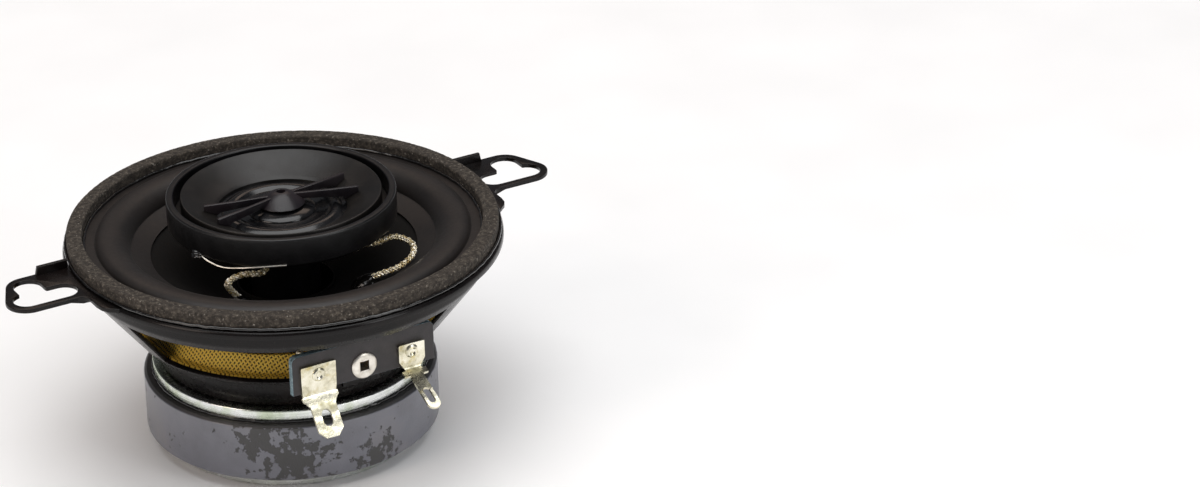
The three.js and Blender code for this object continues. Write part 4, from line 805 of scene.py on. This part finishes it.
def build_gasket():
    outer, z0, z1 = place_of("mounting_gasket")
    inner, halfway = outer - GASKET_WIDTH, z0 + 1.3

    def felted(r, z, a):
        sunk = 0.1 * abs(wander(42 * a, r, z, 1.1, 5)) if z > z0 + 0.3 else 0
        return r - 0.09 * abs(wander(42 * a, r, z, 0.8, 4)), z - sunk

    profile = filleted([(inner, z0), (outer, z0), (outer, halfway), (outer, z1), (inner, z1),
                        (inner, halfway)],
                       [0.1, 0.1, 0, 0.8, 0.7, 0], 7, closed=True)
    gasket = piece("die_cut_foam_gasket", turned(profile, 4 * SIDES, felted), foam_gasket(), "chassis",
                   ["mounting_gasket"], sharp=60)
    for name, r, z, thick, seed in (("outer_glue_bead", outer + 0.32, z0 - 0.02, 0.3, 6),
                                    ("inner_glue_bead", inner - 0.25, z0 + 0.25, 0.34, 8)):
        def uneven(rr, zz, a):
            return (rr + 0.12 * wander(40 * a, 0, 0, 1.9, seed),
                    zz + 0.14 * wander(40 * a, 5, 0, 1.3, seed + 1))

        bead = turned(arc(r, z, thick, 0, 360, 11)[:-1], 2 * SIDES, uneven)
        piece(name, bead, ADHESIVE, "chassis")


# ------------------------------------------------------------------ cone, surround and spider

CONE_EDGE_R, CONE_EDGE_Z = 30.6, FLANGE_Z - 2.1
FORMER_R = 9.9
CONE_SLOPE = 8.6112 / (CONE_EDGE_R - FORMER_R)


def cone_front(r):
    """Height of the cone's front face at a radius."""
    return CONE_EDGE_Z - (CONE_EDGE_R - r) * CONE_SLOPE


def build_cone():
    wall, neck = 0.65, place_of("cone")[1]
    neck_r = FORMER_R + 0.6
    profile = filleted([(FORMER_R, neck), (neck_r, neck), (neck_r, cone_front(neck_r) - wall),
                        (CONE_EDGE_R, CONE_EDGE_Z - wall), (CONE_EDGE_R, CONE_EDGE_Z),
                        (FORMER_R, cone_front(FORMER_R))],
                       [0, 0, 0.8, 0.1, 0.1, 0.1], closed=True)
    dense = []
    for (r0, z0), (r1, z1) in zip(profile, profile[1:] + profile[:1]):
        steps = max(1, round(math.dist((r0, z0), (r1, z1)) / 2))
        dense += [(r0 + (r1 - r0) * s / steps, z0 + (z1 - z0) * s / steps) for s in range(steps)]
    piece("pressed_paper_cone", turned(dense), pressed_pulp(), "cone_assembly", ["cone"])


SURROUND_T = 0.5


def build_surround():
    thick, top = SURROUND_T, FLANGE_Z + SURROUND_T / 2
    bond = 0.28 / math.cos(math.atan(CONE_SLOPE))  # half the rubber and a film of glue
    inner, outer, height, steps = 31.0, 37.8, 2.2, 28
    foot = cone_front(inner) + bond
    roll = []
    for i in range(steps + 1):
        share = i / steps
        r = (inner + outer) / 2 - math.cos(math.pi * share) * (outer - inner) / 2
        roll.append((r, foot + (top - foot) * share + height * math.sin(math.pi * share)))
    flat = [(r, cone_front(r) + bond) for r in (27.05, 29)]
    path = [*flat, *roll, (39.5, top), (43.1, top)]
    profile = sheet_loop(filleted(path, [0, 0, 0.5, *[0] * (steps - 1), 0.5, 0, 0], 3), thick)
    made = piece("moulded_rubber_surround", turned(profile), butyl_rubber(), None, ["surround"])
    follow(made,
           lambda p: (outer - np.hypot(p[:, 0], p[:, 1])) / (outer - inner))


SPIDER_T = 0.42


def build_spider():
    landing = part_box("spider")[0].z / MM + 0.25
    crest, inner, attach = landing + 3.4, FORMER_R, 10.5
    first_wave, waves, swing = 27.4, 3.25, 1.1
    path = [(30.75, landing), (29.1, landing), (first_wave, crest)]
    steps, reach = 120, first_wave - attach
    for i in range(1, steps + 1):
        wave = math.cos(2 * math.pi * waves * i / steps)
        path.append((first_wave - reach * i / steps, crest - swing + swing * wave))
    path.append((inner, path[-1][1]))
    path = filleted(path, [0, 0.7, 0.5] + [0] * (len(path) - 3), 5)[::-1]
    run = [0.0]
    for p, q in zip(path, path[1:]):
        run.append(run[-1] + math.dist(p, q))
    made = piece("resin_set_cloth_spider", turned(sheet_loop(path, SPIDER_T), 240), woven_spider(), None,
                 ["spider"])
    data = made.data
    cloth = data.uv_layers.new(name="cloth")
    radii = np.array([p[0] for p in path])
    for loop in data.loops:
        x, y, _ = data.vertices[loop.vertex_index].co / MM
        r = math.hypot(x, y)
        along = inner + np.interp(r, radii, run)
        cloth.data[loop.index].uv = (x / r * along, y / r * along)
    follow(made,
           lambda p: (28.9 - np.hypot(p[:, 0], p[:, 1])) / (28.9 - 11))


# ------------------------------------------------------------------ tweeter

TWEETER_R = 23.2
BLADE_ANGLES = (-15, 11, 165, 191)  # degrees from the right
BLADE_T = 0.8


def build_tweeter_body():
    _, floor_z, rim_z = place_of("tweeter_housing")
    wall_r = TWEETER_R - 1.5
    screw_r = 3.0
    housing = filleted([(screw_r, floor_z), (9, floor_z), (TWEETER_R - 1, floor_z + 5.4),
                        (TWEETER_R, floor_z + 6.2), (TWEETER_R, rim_z), (wall_r, rim_z),
                        (wall_r, floor_z + 7.15), (9.2, floor_z + 2.2), (screw_r, floor_z + 2.2)],
                       [0.1, 0.6, 0.5, 0.6, 0.5, 0.4, 0.3, 0.3, 0.1], closed=True)
    shell = moulded_abs("moulded_abs_housing", "#060607", "#0c0b0d", 0.28, 0.4)
    piece("moulded_tweeter_housing", turned(housing), shell, "chassis", ["tweeter_housing"])
    horn_r, horn_rim, throat_r, throat_z = 20.3, rim_z - 0.15, 13.2, rim_z - 3.55
    seat_z = throat_z - 0.6
    skirt = horn_r - 0.8
    face = []
    for i in range(13):
        t = i / 12
        r = horn_r - 0.3 + (throat_r + 0.6 - horn_r) * t
        face.append((r, horn_rim - 3.3 * t ** 1.08 - 0.2 * math.sin(math.pi * t)))
    horn = [(skirt, floor_z + 7.25), (wall_r - 0.1, floor_z + 7.25), (wall_r - 0.1, floor_z + 8.05),
            (horn_r, floor_z + 8.05), (horn_r, horn_rim - 0.25), (horn_r - 0.1, horn_rim - 0.06), *face,
            (throat_r, throat_z - 0.15), (throat_r, seat_z), (14.2, seat_z), (skirt, horn_rim - 2.5)]
    satin = moulded_abs("moulded_abs_horn", "#0c0b0a", "#161311", 0.34, 0.44)
    piece("moulded_tweeter_horn", turned(horn), satin, "chassis", ["tweeter_horn"])
    build_phase_plug(horn_rim, throat_z, seat_z)
    _, post_z0, post_z1 = place_of("tweeter_post")
    foot_r, post_r = 8.8, 7
    post = filleted([(POLE_BORE_R, post_z0), (foot_r, post_z0), (foot_r, post_z0 + 2),
                     (post_r, post_z0 + 3), (post_r, post_z1), (POLE_BORE_R, post_z1)],
                    [0, 0.3, 0.6, 0.8, 0, 0], closed=True)
    piece("moulded_tweeter_post", turned(post, 96), shell, "chassis", ["tweeter_post"])


def build_phase_plug(top, throat_z, seat_z):
    hole, rim_r, height, thick = 0.9, 4.8, 2.5, 1.0
    outer = [(hole + (rim_r - hole) * i / 14, top - height * (i / 14) ** 1.6) for i in range(15)]
    inner = [(hole + (rim_r - 0.6 - hole) * i / 14, top - thick - (height - thick) * (i / 14) ** 1.6)
             for i in range(15)]
    cap = turned(filleted(inner + outer[::-1], [0] * 14 + [0.15, 0.2] + [0] * 13 + [0.3], closed=True), 96)
    over = seat_z + 1.1

    def foot_z(r):
        return throat_z + (r - 13.2) / 7.1 * 3.4 - 0.12

    fin = [(3.9, top - 2.1), (12.4, over), (13.2, foot_z(13.2) + 0.05), (15.8, foot_z(15.8)),
           (15.85, foot_z(15.8) + 1.15), (15.6, foot_z(15.8) + 1.3), (10, top - 0.95), (2.6, top - 0.7)]
    for angle in BLADE_ANGLES:
        blade = punched(fin, [], BLADE_T, 0.22)
        turn = Matrix.Rotation(math.radians(angle), 4, "Z")
        joined(cap, moved(blade, turn @ Matrix.Translation((0, BLADE_T / 2 * MM, 0)) @ UPRIGHT))
    satin = moulded_abs("moulded_abs_phase_plug", "#141216", "#231d20", 0.26, 0.38)
    piece("moulded_phase_plug", cap, satin, "chassis", ["tweeter_phase_plug"])


def build_diaphragm():
    film = glossy_film()
    _, low, _ = place_of("tweeter_suspension")
    base = low + 0.3
    dome_r, rise, inner_r, outer_r = 6.9, 1.4, 9.3, 12.2
    crown = [(dome_r * math.cos(t), base + rise * math.sin(t)) for t in np.linspace(0, math.pi / 2, 15)]
    within = [((dome_r - 0.3) * math.cos(t), base + (rise - 0.1) * math.sin(t))
              for t in np.linspace(math.pi / 2, 0, 15)]
    crown[-1], within[0] = (0, base + rise), (0, base + rise - 0.1)
    piece("formed_film_dome", turned(crown + within, 96), film, "tweeter_diaphragm", ["tweeter_dome"])
    path = [(dome_r, base - 0.15)]
    for i in range(1, 81):
        r = dome_r + (14.2 - dome_r) * i / 80
        ridge = 0.025 * max(0.0, math.sin((r - dome_r) / 0.8 * math.pi)) if r < inner_r else 0.0
        t = (r - inner_r) / (outer_r - inner_r)
        roll = 0.6 * math.sin(math.pi * t) if 0 < t < 1 else 0.0
        path.append((r, base - 0.15 + ridge + roll))
    made = piece("formed_film_suspension", turned(sheet_loop(path, 0.28), 144), film, None,
                 ["tweeter_suspension"])
    follow(made,
           lambda p: (outer_r - np.hypot(p[:, 0], p[:, 1])) / (outer_r - inner_r))


# ------------------------------------------------------------------ terminals

LUG_T = 0.6
HOLE_STEPS = np.linspace(0, 1.5, 7)  # radians round the end of a lug's hole


def eyelet_ring():
    """A drawn eyelet along Z: a rolled round rim and a square hole."""
    profile = [(2.75, 0.0), (2.72, 0.22), (2.5, 0.42), (2.1, 0.5), (1.6, 0.46), (1.0, 0.3), (1.0, -2.9),
               (1.4, -2.9), (2.0, -2.85), (1.95, -2.45), (1.5, -2.4), (1.5, 0.0)]

    def square(r, z, a):
        return (r / max(abs(math.cos(a)), abs(math.sin(a))) if r <= 1.0 else r), z

    return turned(profile, 64, square)


def bent_lug(size):
    """A stamped lug, flat on the board and bent at its lower edge; y = 0 is its face, z = 0 its edge."""
    along, widths = zip(*size["edge"])
    hole_r, hole_from, hole_to = size["hole"]
    start, end, step = along[0], along[-1], 0.12
    stops = {*along, hole_from, hole_to}
    stops |= {round(start + step * i, 3) for i in range(int((end - start) / step) + 1)}
    stops |= {round(hole_from + hole_r * (1 - math.cos(k)), 4) for k in HOLE_STEPS}
    stops |= {round(hole_to - hole_r * (1 - math.cos(k)), 4) for k in HOLE_STEPS}
    made, rows = bmesh.new(), []
    y, z, last = -LUG_T / 2, -start, start
    for s in sorted(stops):
        if not start <= s <= end:
            continue
        lean = math.radians(size["tilt"]) * min(1, max(0, (s - 0.1) / 0.9))
        y -= (s - last) * math.sin(lean)
        z -= (s - last) * math.cos(lean)
        last = s
        gap = 0.0
        if hole_from <= s <= hole_to:
            off = max(hole_from + hole_r - s, s - hole_to + hole_r, 0)
            gap = math.sqrt(max(hole_r ** 2 - off ** 2, 0))
        wave = 0.05 * wander(0, y, z, 1.8, 11)
        half_width = float(np.interp(s, along, widths))
        rows.append([made.verts.new((x * MM, (y + wave) * MM, z * MM))
                     for x in (-half_width, -gap, gap, half_width)])
    for one, two in zip(rows, rows[1:]):
        made.faces.new((one[0], one[1], two[1], two[0]))
        made.faces.new((one[2], one[3], two[3], two[2]))
    bmesh.ops.remove_doubles(made, verts=made.verts, dist=1e-7)
    return made


# tilt is the bend in degrees; hole is its radius and where it starts and ends along the lug; edge is
# the lug's half width along its length, from 0 at the board's lower edge.
WIDE_LUG = dict(
    tilt=37, hole=(1.05, 3.9, 7.3),
    edge=[(-5.9, 3.65), (-5.78, 3.8), (-2.6, 3.8), (-0.6, 3.75), (0.4, 3.6), (0.7, 3.6), (0.75, 3.85),
          (1.6, 3.8), (2.0, 3.3), (3.0, 2.7), (8.1, 2.7), (9.6, 1.25)])
NARROW_LUG = dict(
    tilt=66, hole=(0.7, 6.2, 10.2),
    edge=[(-5, 2.7), (-4.85, 2.85), (-1.3, 2.85), (0.4, 1.8), (1.15, 1.8), (1.2, 2.65), (2.5, 2.65),
          (2.6, 1.4), (10.3, 1.4), (10.9, 1.2), (11.3, 0.8), (11.5, 0.35)])


def build_terminals():
    low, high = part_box("terminal_board")
    centre_x, face_y, edge_z = (low.x + high.x) / 2 / MM, low.y / MM, low.z / MM
    width, height, thick = (high.x - low.x) / MM, (high.z - low.z) / MM, (high.y - low.y) / MM
    w, r = width / 2, 1.2
    outline = [(-w, 0), (w, 0), *arc(w - r, height - r, r, 0, 90, 6), *arc(r - w, height - r, r, 90, 180, 6)]
    middles = [middle_of("wide_lug_rivet"), middle_of("narrow_lug_rivet")]
    rivets = [(m.x - centre_x, m.z - edge_z) for m in middles]
    eyelet_z = middle_of("terminal_eyelet").z - edge_z
    holes = [arc(0, eyelet_z, 1.6, 0, 345, 22), *(arc(x, z, 1.0, 0, 345, 22) for x, z in rivets)]
    board = punched(outline, holes, thick, 0.1)
    moved(board, Matrix.Translation((centre_x * MM, (face_y + thick) * MM, edge_z * MM)) @ UPRIGHT)
    piece("punched_terminal_board", board, phenolic_board(), "chassis", ["terminal_board"])
    there = Matrix.Translation((centre_x * MM, face_y * MM, (edge_z + eyelet_z) * MM)) @ UPRIGHT
    piece("rolled_eyelet", moved(eyelet_ring(), there), dull_plate("nickel_plated_eyelet"), "chassis",
          ["terminal_eyelet"])
    tin = tinned_brass()
    for name, size, (x, z) in (("wide", WIDE_LUG, rivets[0]), ("narrow", NARROW_LUG, rivets[1])):
        lug = piece(f"tinned_{name}_lug", bent_lug(size), tin, None)
        lug.data.transform(Matrix.Translation(((centre_x + x) * MM, face_y * MM, edge_z * MM)))
        sheet = lug.modifiers.new("sheet", "SOLIDIFY")
        sheet.thickness, sheet.offset = LUG_T * 0.97 * MM, 0
        arris = lug.modifiers.new("arris", "BEVEL")
        arris.width, arris.segments, arris.limit_method = 0.12 * MM, 2, "ANGLE"
        applied(lug)
        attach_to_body(lug, "chassis")
        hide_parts(f"{name}_lug")
        head = [(0, 0.75), (0.5, 0.7), (0.7, 0.85), (1.1, 0.95), (1.4, 0.75), (1.45, LUG_T), (0.9, LUG_T),
                (0.9, -thick), (1.5, -thick), (1.3, -thick - 0.4), (0, -thick - 0.5)]
        rivet = turned(head[::-1], 32)
        there = Matrix.Translation(((centre_x + x) * MM, face_y * MM, (edge_z + z) * MM)) @ UPRIGHT
        piece(f"peened_{name}_lug_rivet", moved(rivet, there), tin, "chassis", [f"{name}_lug_rivet"])


# ------------------------------------------------------------------ leads and glue

LEAD_R = 0.55
CORE_R, STRAND_R = 0.38, 0.2
STRANDS = 4  # each way round
STRAND_LIFT, STRAND_SWAY = 0.46, 0.08  # a strand's distance from the middle, and how far it weaves
LAY = 2.6  # length of one turn of a strand
TWEETER_FOOT_Z = FLANGE_Z - 2.3
LEAD_ABOVE_RIVET = 0.15
OVER_SURROUND = SURROUND_T + LEAD_R + 0.35


def polar(angle, r, z):
    """A point at an angle in degrees from the front."""
    a = math.radians(angle)
    return (r * math.sin(a), -r * math.cos(a), z)


def on_tweeter(angle, out, up):
    return polar(angle, TWEETER_R + out, TWEETER_FOOT_Z + up)


def gap_r(share):
    """A radius between the tweeter's wall and the surround's roll."""
    return TWEETER_R + share * (31 - 2 * LEAD_R - TWEETER_R)


def in_gap(angle, share, up):
    return polar(angle, gap_r(share), TWEETER_FOOT_Z + up)


def on_cone(angle, r, up):
    return polar(angle, r, cone_front(r) + up)


FRONT_RIGHT = [
    on_tweeter(39.8, -6, 5.6), on_tweeter(39.8, -6, 2.7), on_tweeter(41.7, -3.4, 2.7),
    on_tweeter(50.3, -0.3, 2.9), in_gap(48.7, 0.512, 2.1), in_gap(42.2, 0.687, 1.1),
    on_cone(34.5, gap_r(0.478), OVER_SURROUND), on_cone(29.4, gap_r(0.06), OVER_SURROUND),
    on_cone(28.4, TWEETER_R - 3.2, 0.8)]
FRONT_LEFT = [
    on_tweeter(-37.7, -6, 5.6), on_tweeter(-37.7, -6, 2.7), on_tweeter(-40.2, -3.7, 2.8),
    on_tweeter(-47.3, -1.9, 3.2), on_tweeter(-52.7, -0.6, 2.5), on_tweeter(-55.4, -0.5, 1.1),
    on_cone(-56.1, TWEETER_R - 1.9, 2.9), on_cone(-55.1, TWEETER_R - 4.7, 0.9)]


def rear_route(rivet, bend_x, bend_back, bend_above, *behind_cone):
    """From the back of a lug's rivet, round one bend, to points a little under the cone's front face."""
    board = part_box("terminal_board")
    back, edge = board[1].y / MM, board[0].z / MM
    x, z = middle_of(rivet).x, middle_of(rivet).z + LEAD_ABOVE_RIVET
    start = [(x, back + 0.7, z), (x, back + 2.1, z), (bend_x, back + bend_back, edge + bend_above)]
    return start + [(px, py, cone_front(math.hypot(px, py)) - under) for px, py, under in behind_cone]


def smooth_route(points, step_mm=0.12):
    """The centripetal spline through the points, sampled at even steps."""
    p = [Vector(q) for q in points]
    p = [p[0] * 2 - p[1], *p, p[-1] * 2 - p[-2]]
    dense = []
    for i in range(1, len(p) - 2):
        knots = [0.0]
        for k in range(3):
            knots.append(knots[-1] + max((p[i + k] - p[i + k - 1]).length ** 0.5, 1e-6))
        for t in np.linspace(knots[1], knots[2], 40, endpoint=False):
            row = p[i - 1 : i + 3]
            for spans in (((0, 1), (1, 2), (2, 3)), ((0, 2), (1, 3)), ((1, 2),)):
                shares = [(knots[b] - t, t - knots[a], knots[b] - knots[a]) for a, b in spans]
                row = [one * (left / whole) + two * (done / whole)
                       for one, two, (left, done, whole) in zip(row, row[1:], shares)]
            dense.append(row[0])
    dense.append(Vector(points[-1]))
    run = [0.0]
    for a, b in zip(dense, dense[1:]):
        run.append(run[-1] + (b - a).length)
    count = max(2, round(run[-1] / step_mm))
    at = np.linspace(0, run[-1], count + 1)
    flat = np.array([list(d) for d in dense])
    return np.stack([np.interp(at, run, flat[:, k]) for k in range(3)], 1), run[-1]


def tube(made, rings):
    """Joins rings of points in metres into a closed tube."""
    rings = [[made.verts.new(point) for point in ring] for ring in rings]
    for one, two in zip(rings, rings[1:]):
        for k in range(len(one)):
            after = (k + 1) % len(one)
            made.faces.new((one[k], one[after], two[after], two[k]))
    made.faces.new(rings[0][::-1])
    made.faces.new(rings[-1])


def braided(name, points, replaced):
    """A braided lead along a route that starts on the chassis and ends on the cone."""
    line, length = smooth_route(points)
    tangent = np.gradient(line, axis=0)
    tangent /= np.linalg.norm(tangent, axis=1)[:, None]
    side = np.cross(tangent[0], (0.3, 0.1, 1.0))
    sides = []
    for t in tangent:
        side = side - t * (side @ t)
        side /= np.linalg.norm(side)
        sides.append(side.copy())
    sides = np.array(sides)
    ups = np.cross(tangent, sides)
    run = np.linspace(0, length, len(line))
    made = bmesh.new()

    def wire(centres, r, faces):
        turns = np.linspace(0, 2 * math.pi, faces, endpoint=False)
        tube(made, [[((c + r * (math.cos(k) * s + math.sin(k) * u)) * MM).tolist() for k in turns]
                    for c, s, u in zip(centres, sides, ups)])

    wire(line, CORE_R, 8)
    for way in (1, -1):
        for k in range(STRANDS):
            angle = way * 2 * math.pi * run / LAY + 2 * math.pi * k / STRANDS
            lift = STRAND_LIFT + STRAND_SWAY * np.sin(way * STRANDS * angle / 2 + math.pi * k)
            centres = line + lift[:, None] * (np.cos(angle)[:, None] * sides + np.sin(angle)[:, None] * ups)
            wire(centres, STRAND_R, 5)
    lead = piece(name, made, TINSEL, None, replaced, sharp=80)
    marks, reached = line[::4], (run / length)[::4]
    held, batch = 0.12, 4000  # share of the length that stays put at each end; points looked up at a time

    def share(points_mm):
        found = np.zeros(len(points_mm))
        for i in range(0, len(points_mm), batch):
            off = np.linalg.norm(points_mm[i : i + batch, None] - marks[None], axis=2)
            found[i : i + batch] = reached[off.argmin(1)]
        return (found - held) / (1 - 2 * held)

    follow(lead, share)


def glue_blob(name, node, radius, flat, seed):
    """A dab of glue shaped by the cone that it lies on."""
    low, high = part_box(node)
    centre = (low + high) / 2 / MM
    made = bmesh.new()
    bmesh.ops.create_icosphere(made, subdivisions=4, radius=1.0)
    for vert in made.verts:
        d = vert.co.normalized()
        swell = 1 + 0.16 * wander(3 * d.x, 3 * d.y, 3 * d.z, 1.4, seed)
        x, y = centre.x + radius * swell * d.x, centre.y + radius * swell * d.y
        base = cone_front(math.hypot(x, y)) + 0.03
        vert.co = Vector((x, y, base + max(0.0, flat * swell * d.z))) * MM
    piece(name, made, ADHESIVE, "cone_assembly", [node])


def build_wiring():
    braided("braided_front_lead_right", FRONT_RIGHT, ["front_lead_right"])
    braided("braided_front_lead_left", FRONT_LEFT, ["front_lead_left"])
    right = rear_route("narrow_lug_rivet", 9.4, 6.3, 5.2, (8.6, -22, 5.1), (7.4, -15.4, 1.25))
    left = rear_route("wide_lug_rivet", -11.4, 7.3, 5.4, (-12, -20, 5.1), (-12.6, -12, 1.25))
    braided("braided_rear_lead_right", right, ["rear_lead_right"])
    braided("braided_rear_lead_left", left, ["rear_lead_left"])
    glue_blob("cone_glue_dab_for_right_lead", "cone_glue_dab_right", 2.9, 2.0, 14)
    glue_blob("cone_glue_dab_for_left_lead", "cone_glue_dab_left", 2.3, 1.9, 15)


BARE_WIRE_R = 0.16


def build_capacitor_wire():
    """The capacitor's bare tinned lead, laid along the foot of the tweeter housing."""
    route = [polar(angle, TWEETER_R + out, FLANGE_Z + up) for angle, out, up in (
        (-71, -0.2, 4.1), (-68, 0.25, 3.8), (-61, 0.25, 3.05), (-56, 0.25, 2.85), (-47, 0.25, 3.3),
        (-37, 0.25, 3.8), (-24, 0.2, 4.1))]
    line, _ = smooth_route(route, 0.4)
    rings = []
    for i, centre in enumerate(line):
        along = Vector(line[min(i + 1, len(line) - 1)] - line[max(i - 1, 0)]).normalized()
        side = along.cross(Vector((0, 0, 1))).normalized()
        up = side.cross(along)
        rings.append([(Vector(centre) + BARE_WIRE_R * (math.cos(k) * side + math.sin(k) * up)) * MM
                      for k in np.linspace(0, 2 * math.pi, 8, endpoint=False)])
    bare = bmesh.new()
    tube(bare, rings)
    piece("bare_capacitor_lead", bare, dull_plate("tinned_copper_wire"), "chassis")
    blob = bmesh.new()
    bmesh.ops.create_icosphere(blob, subdivisions=4, radius=1.0)
    middle = Vector(polar(-73, TWEETER_R - 0.3, FLANGE_Z + 3.9))
    for vert in blob.verts:
        d = vert.co.normalized()
        swell = 1 + 0.35 * wander(2 * d.x, 2 * d.y, 2 * d.z, 1.1, 21)
        vert.co = (middle + Vector((1.2 * d.x, 1.5 * d.y, 0.8 * d.z)) * swell) * MM
    piece("glue_on_capacitor_lead", blob, ADHESIVE, "chassis")


def finish_hidden_nodes():
    """The pieces inside the motor and the tweeter keep their own shape and take a proper finish."""
    looks = {
        wound_copper: ("voice_coil_winding", "tweeter_coil"),
        paper_former: ("voice_coil_former",),
        capacitor_sleeve: ("crossover_capacitor",),
    }
    for make, nodes in looks.items():
        look = make()
        for node in nodes:
            give(node, look)
    steel = zinc_plate("zinc_plated_small_parts", "#a8ad7a", 0.3)
    for node in ("post_screw", "tweeter_yoke", "tweeter_magnet", "tweeter_pole_plate"):
        give(node, steel)
    give("tweeter_frame", moulded_abs("moulded_abs_frame", "#111112", "#1a191a", 0.4, 0.5))


def give(node, look):
    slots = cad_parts[node].data.materials
    slots.clear()
    slots.append(look)


FLOOR_HALF = 4.0  # metres
FLOOR_DROP = 0.0002  # metres below the back plate, so that the two faces don't flicker


def build_floor():
    made = bmesh.new()
    steps = 8
    marks = [FLOOR_HALF * (2 * i / steps - 1) for i in range(steps + 1)]
    grid = [[made.verts.new((x, y, -FLOOR_DROP)) for x in marks] for y in marks]
    for j in range(steps):
        for i in range(steps):
            made.faces.new((grid[j][i], grid[j][i + 1], grid[j + 1][i + 1], grid[j + 1][i]))
    floor = piece("paper_floor", made, matt_floor(), None)


def light_studio():
    scene = bpy.context.scene
    scene.view_settings.view_transform = "Standard"
    world = bpy.data.worlds.new("studio")
    scene.world = world
    world.use_nodes = True
    world.node_tree.nodes["Background"].inputs["Color"].default_value = linear("#f4f6ff")
    world.node_tree.nodes["Background"].inputs["Strength"].default_value = 0.12
    softbox("overhead", 0, 84, 1.3, (1.5, 1.5), 19, "#ffffff")
    softbox("front_left", -80, 28, 0.9, (0.35, 0.6), 2.1, "#fff0e4")
    softbox("front_right", 25, 22, 0.9, (0.3, 0.5), 1.6, "#ffffff")
    softbox("back", 155, 44, 1.0, (0.8, 0.25), 0.7, "#ffe4d0")


place_camera()
light_studio()
TINSEL = tinsel_braid()
ADHESIVE = black_adhesive()
build_floor()
build_motor()
build_basket()
build_gasket()
build_cone()
build_surround()
build_spider()
build_tweeter_body()
build_diaphragm()
build_terminals()
build_wiring()
build_capacitor_wire()
finish_hidden_nodes()
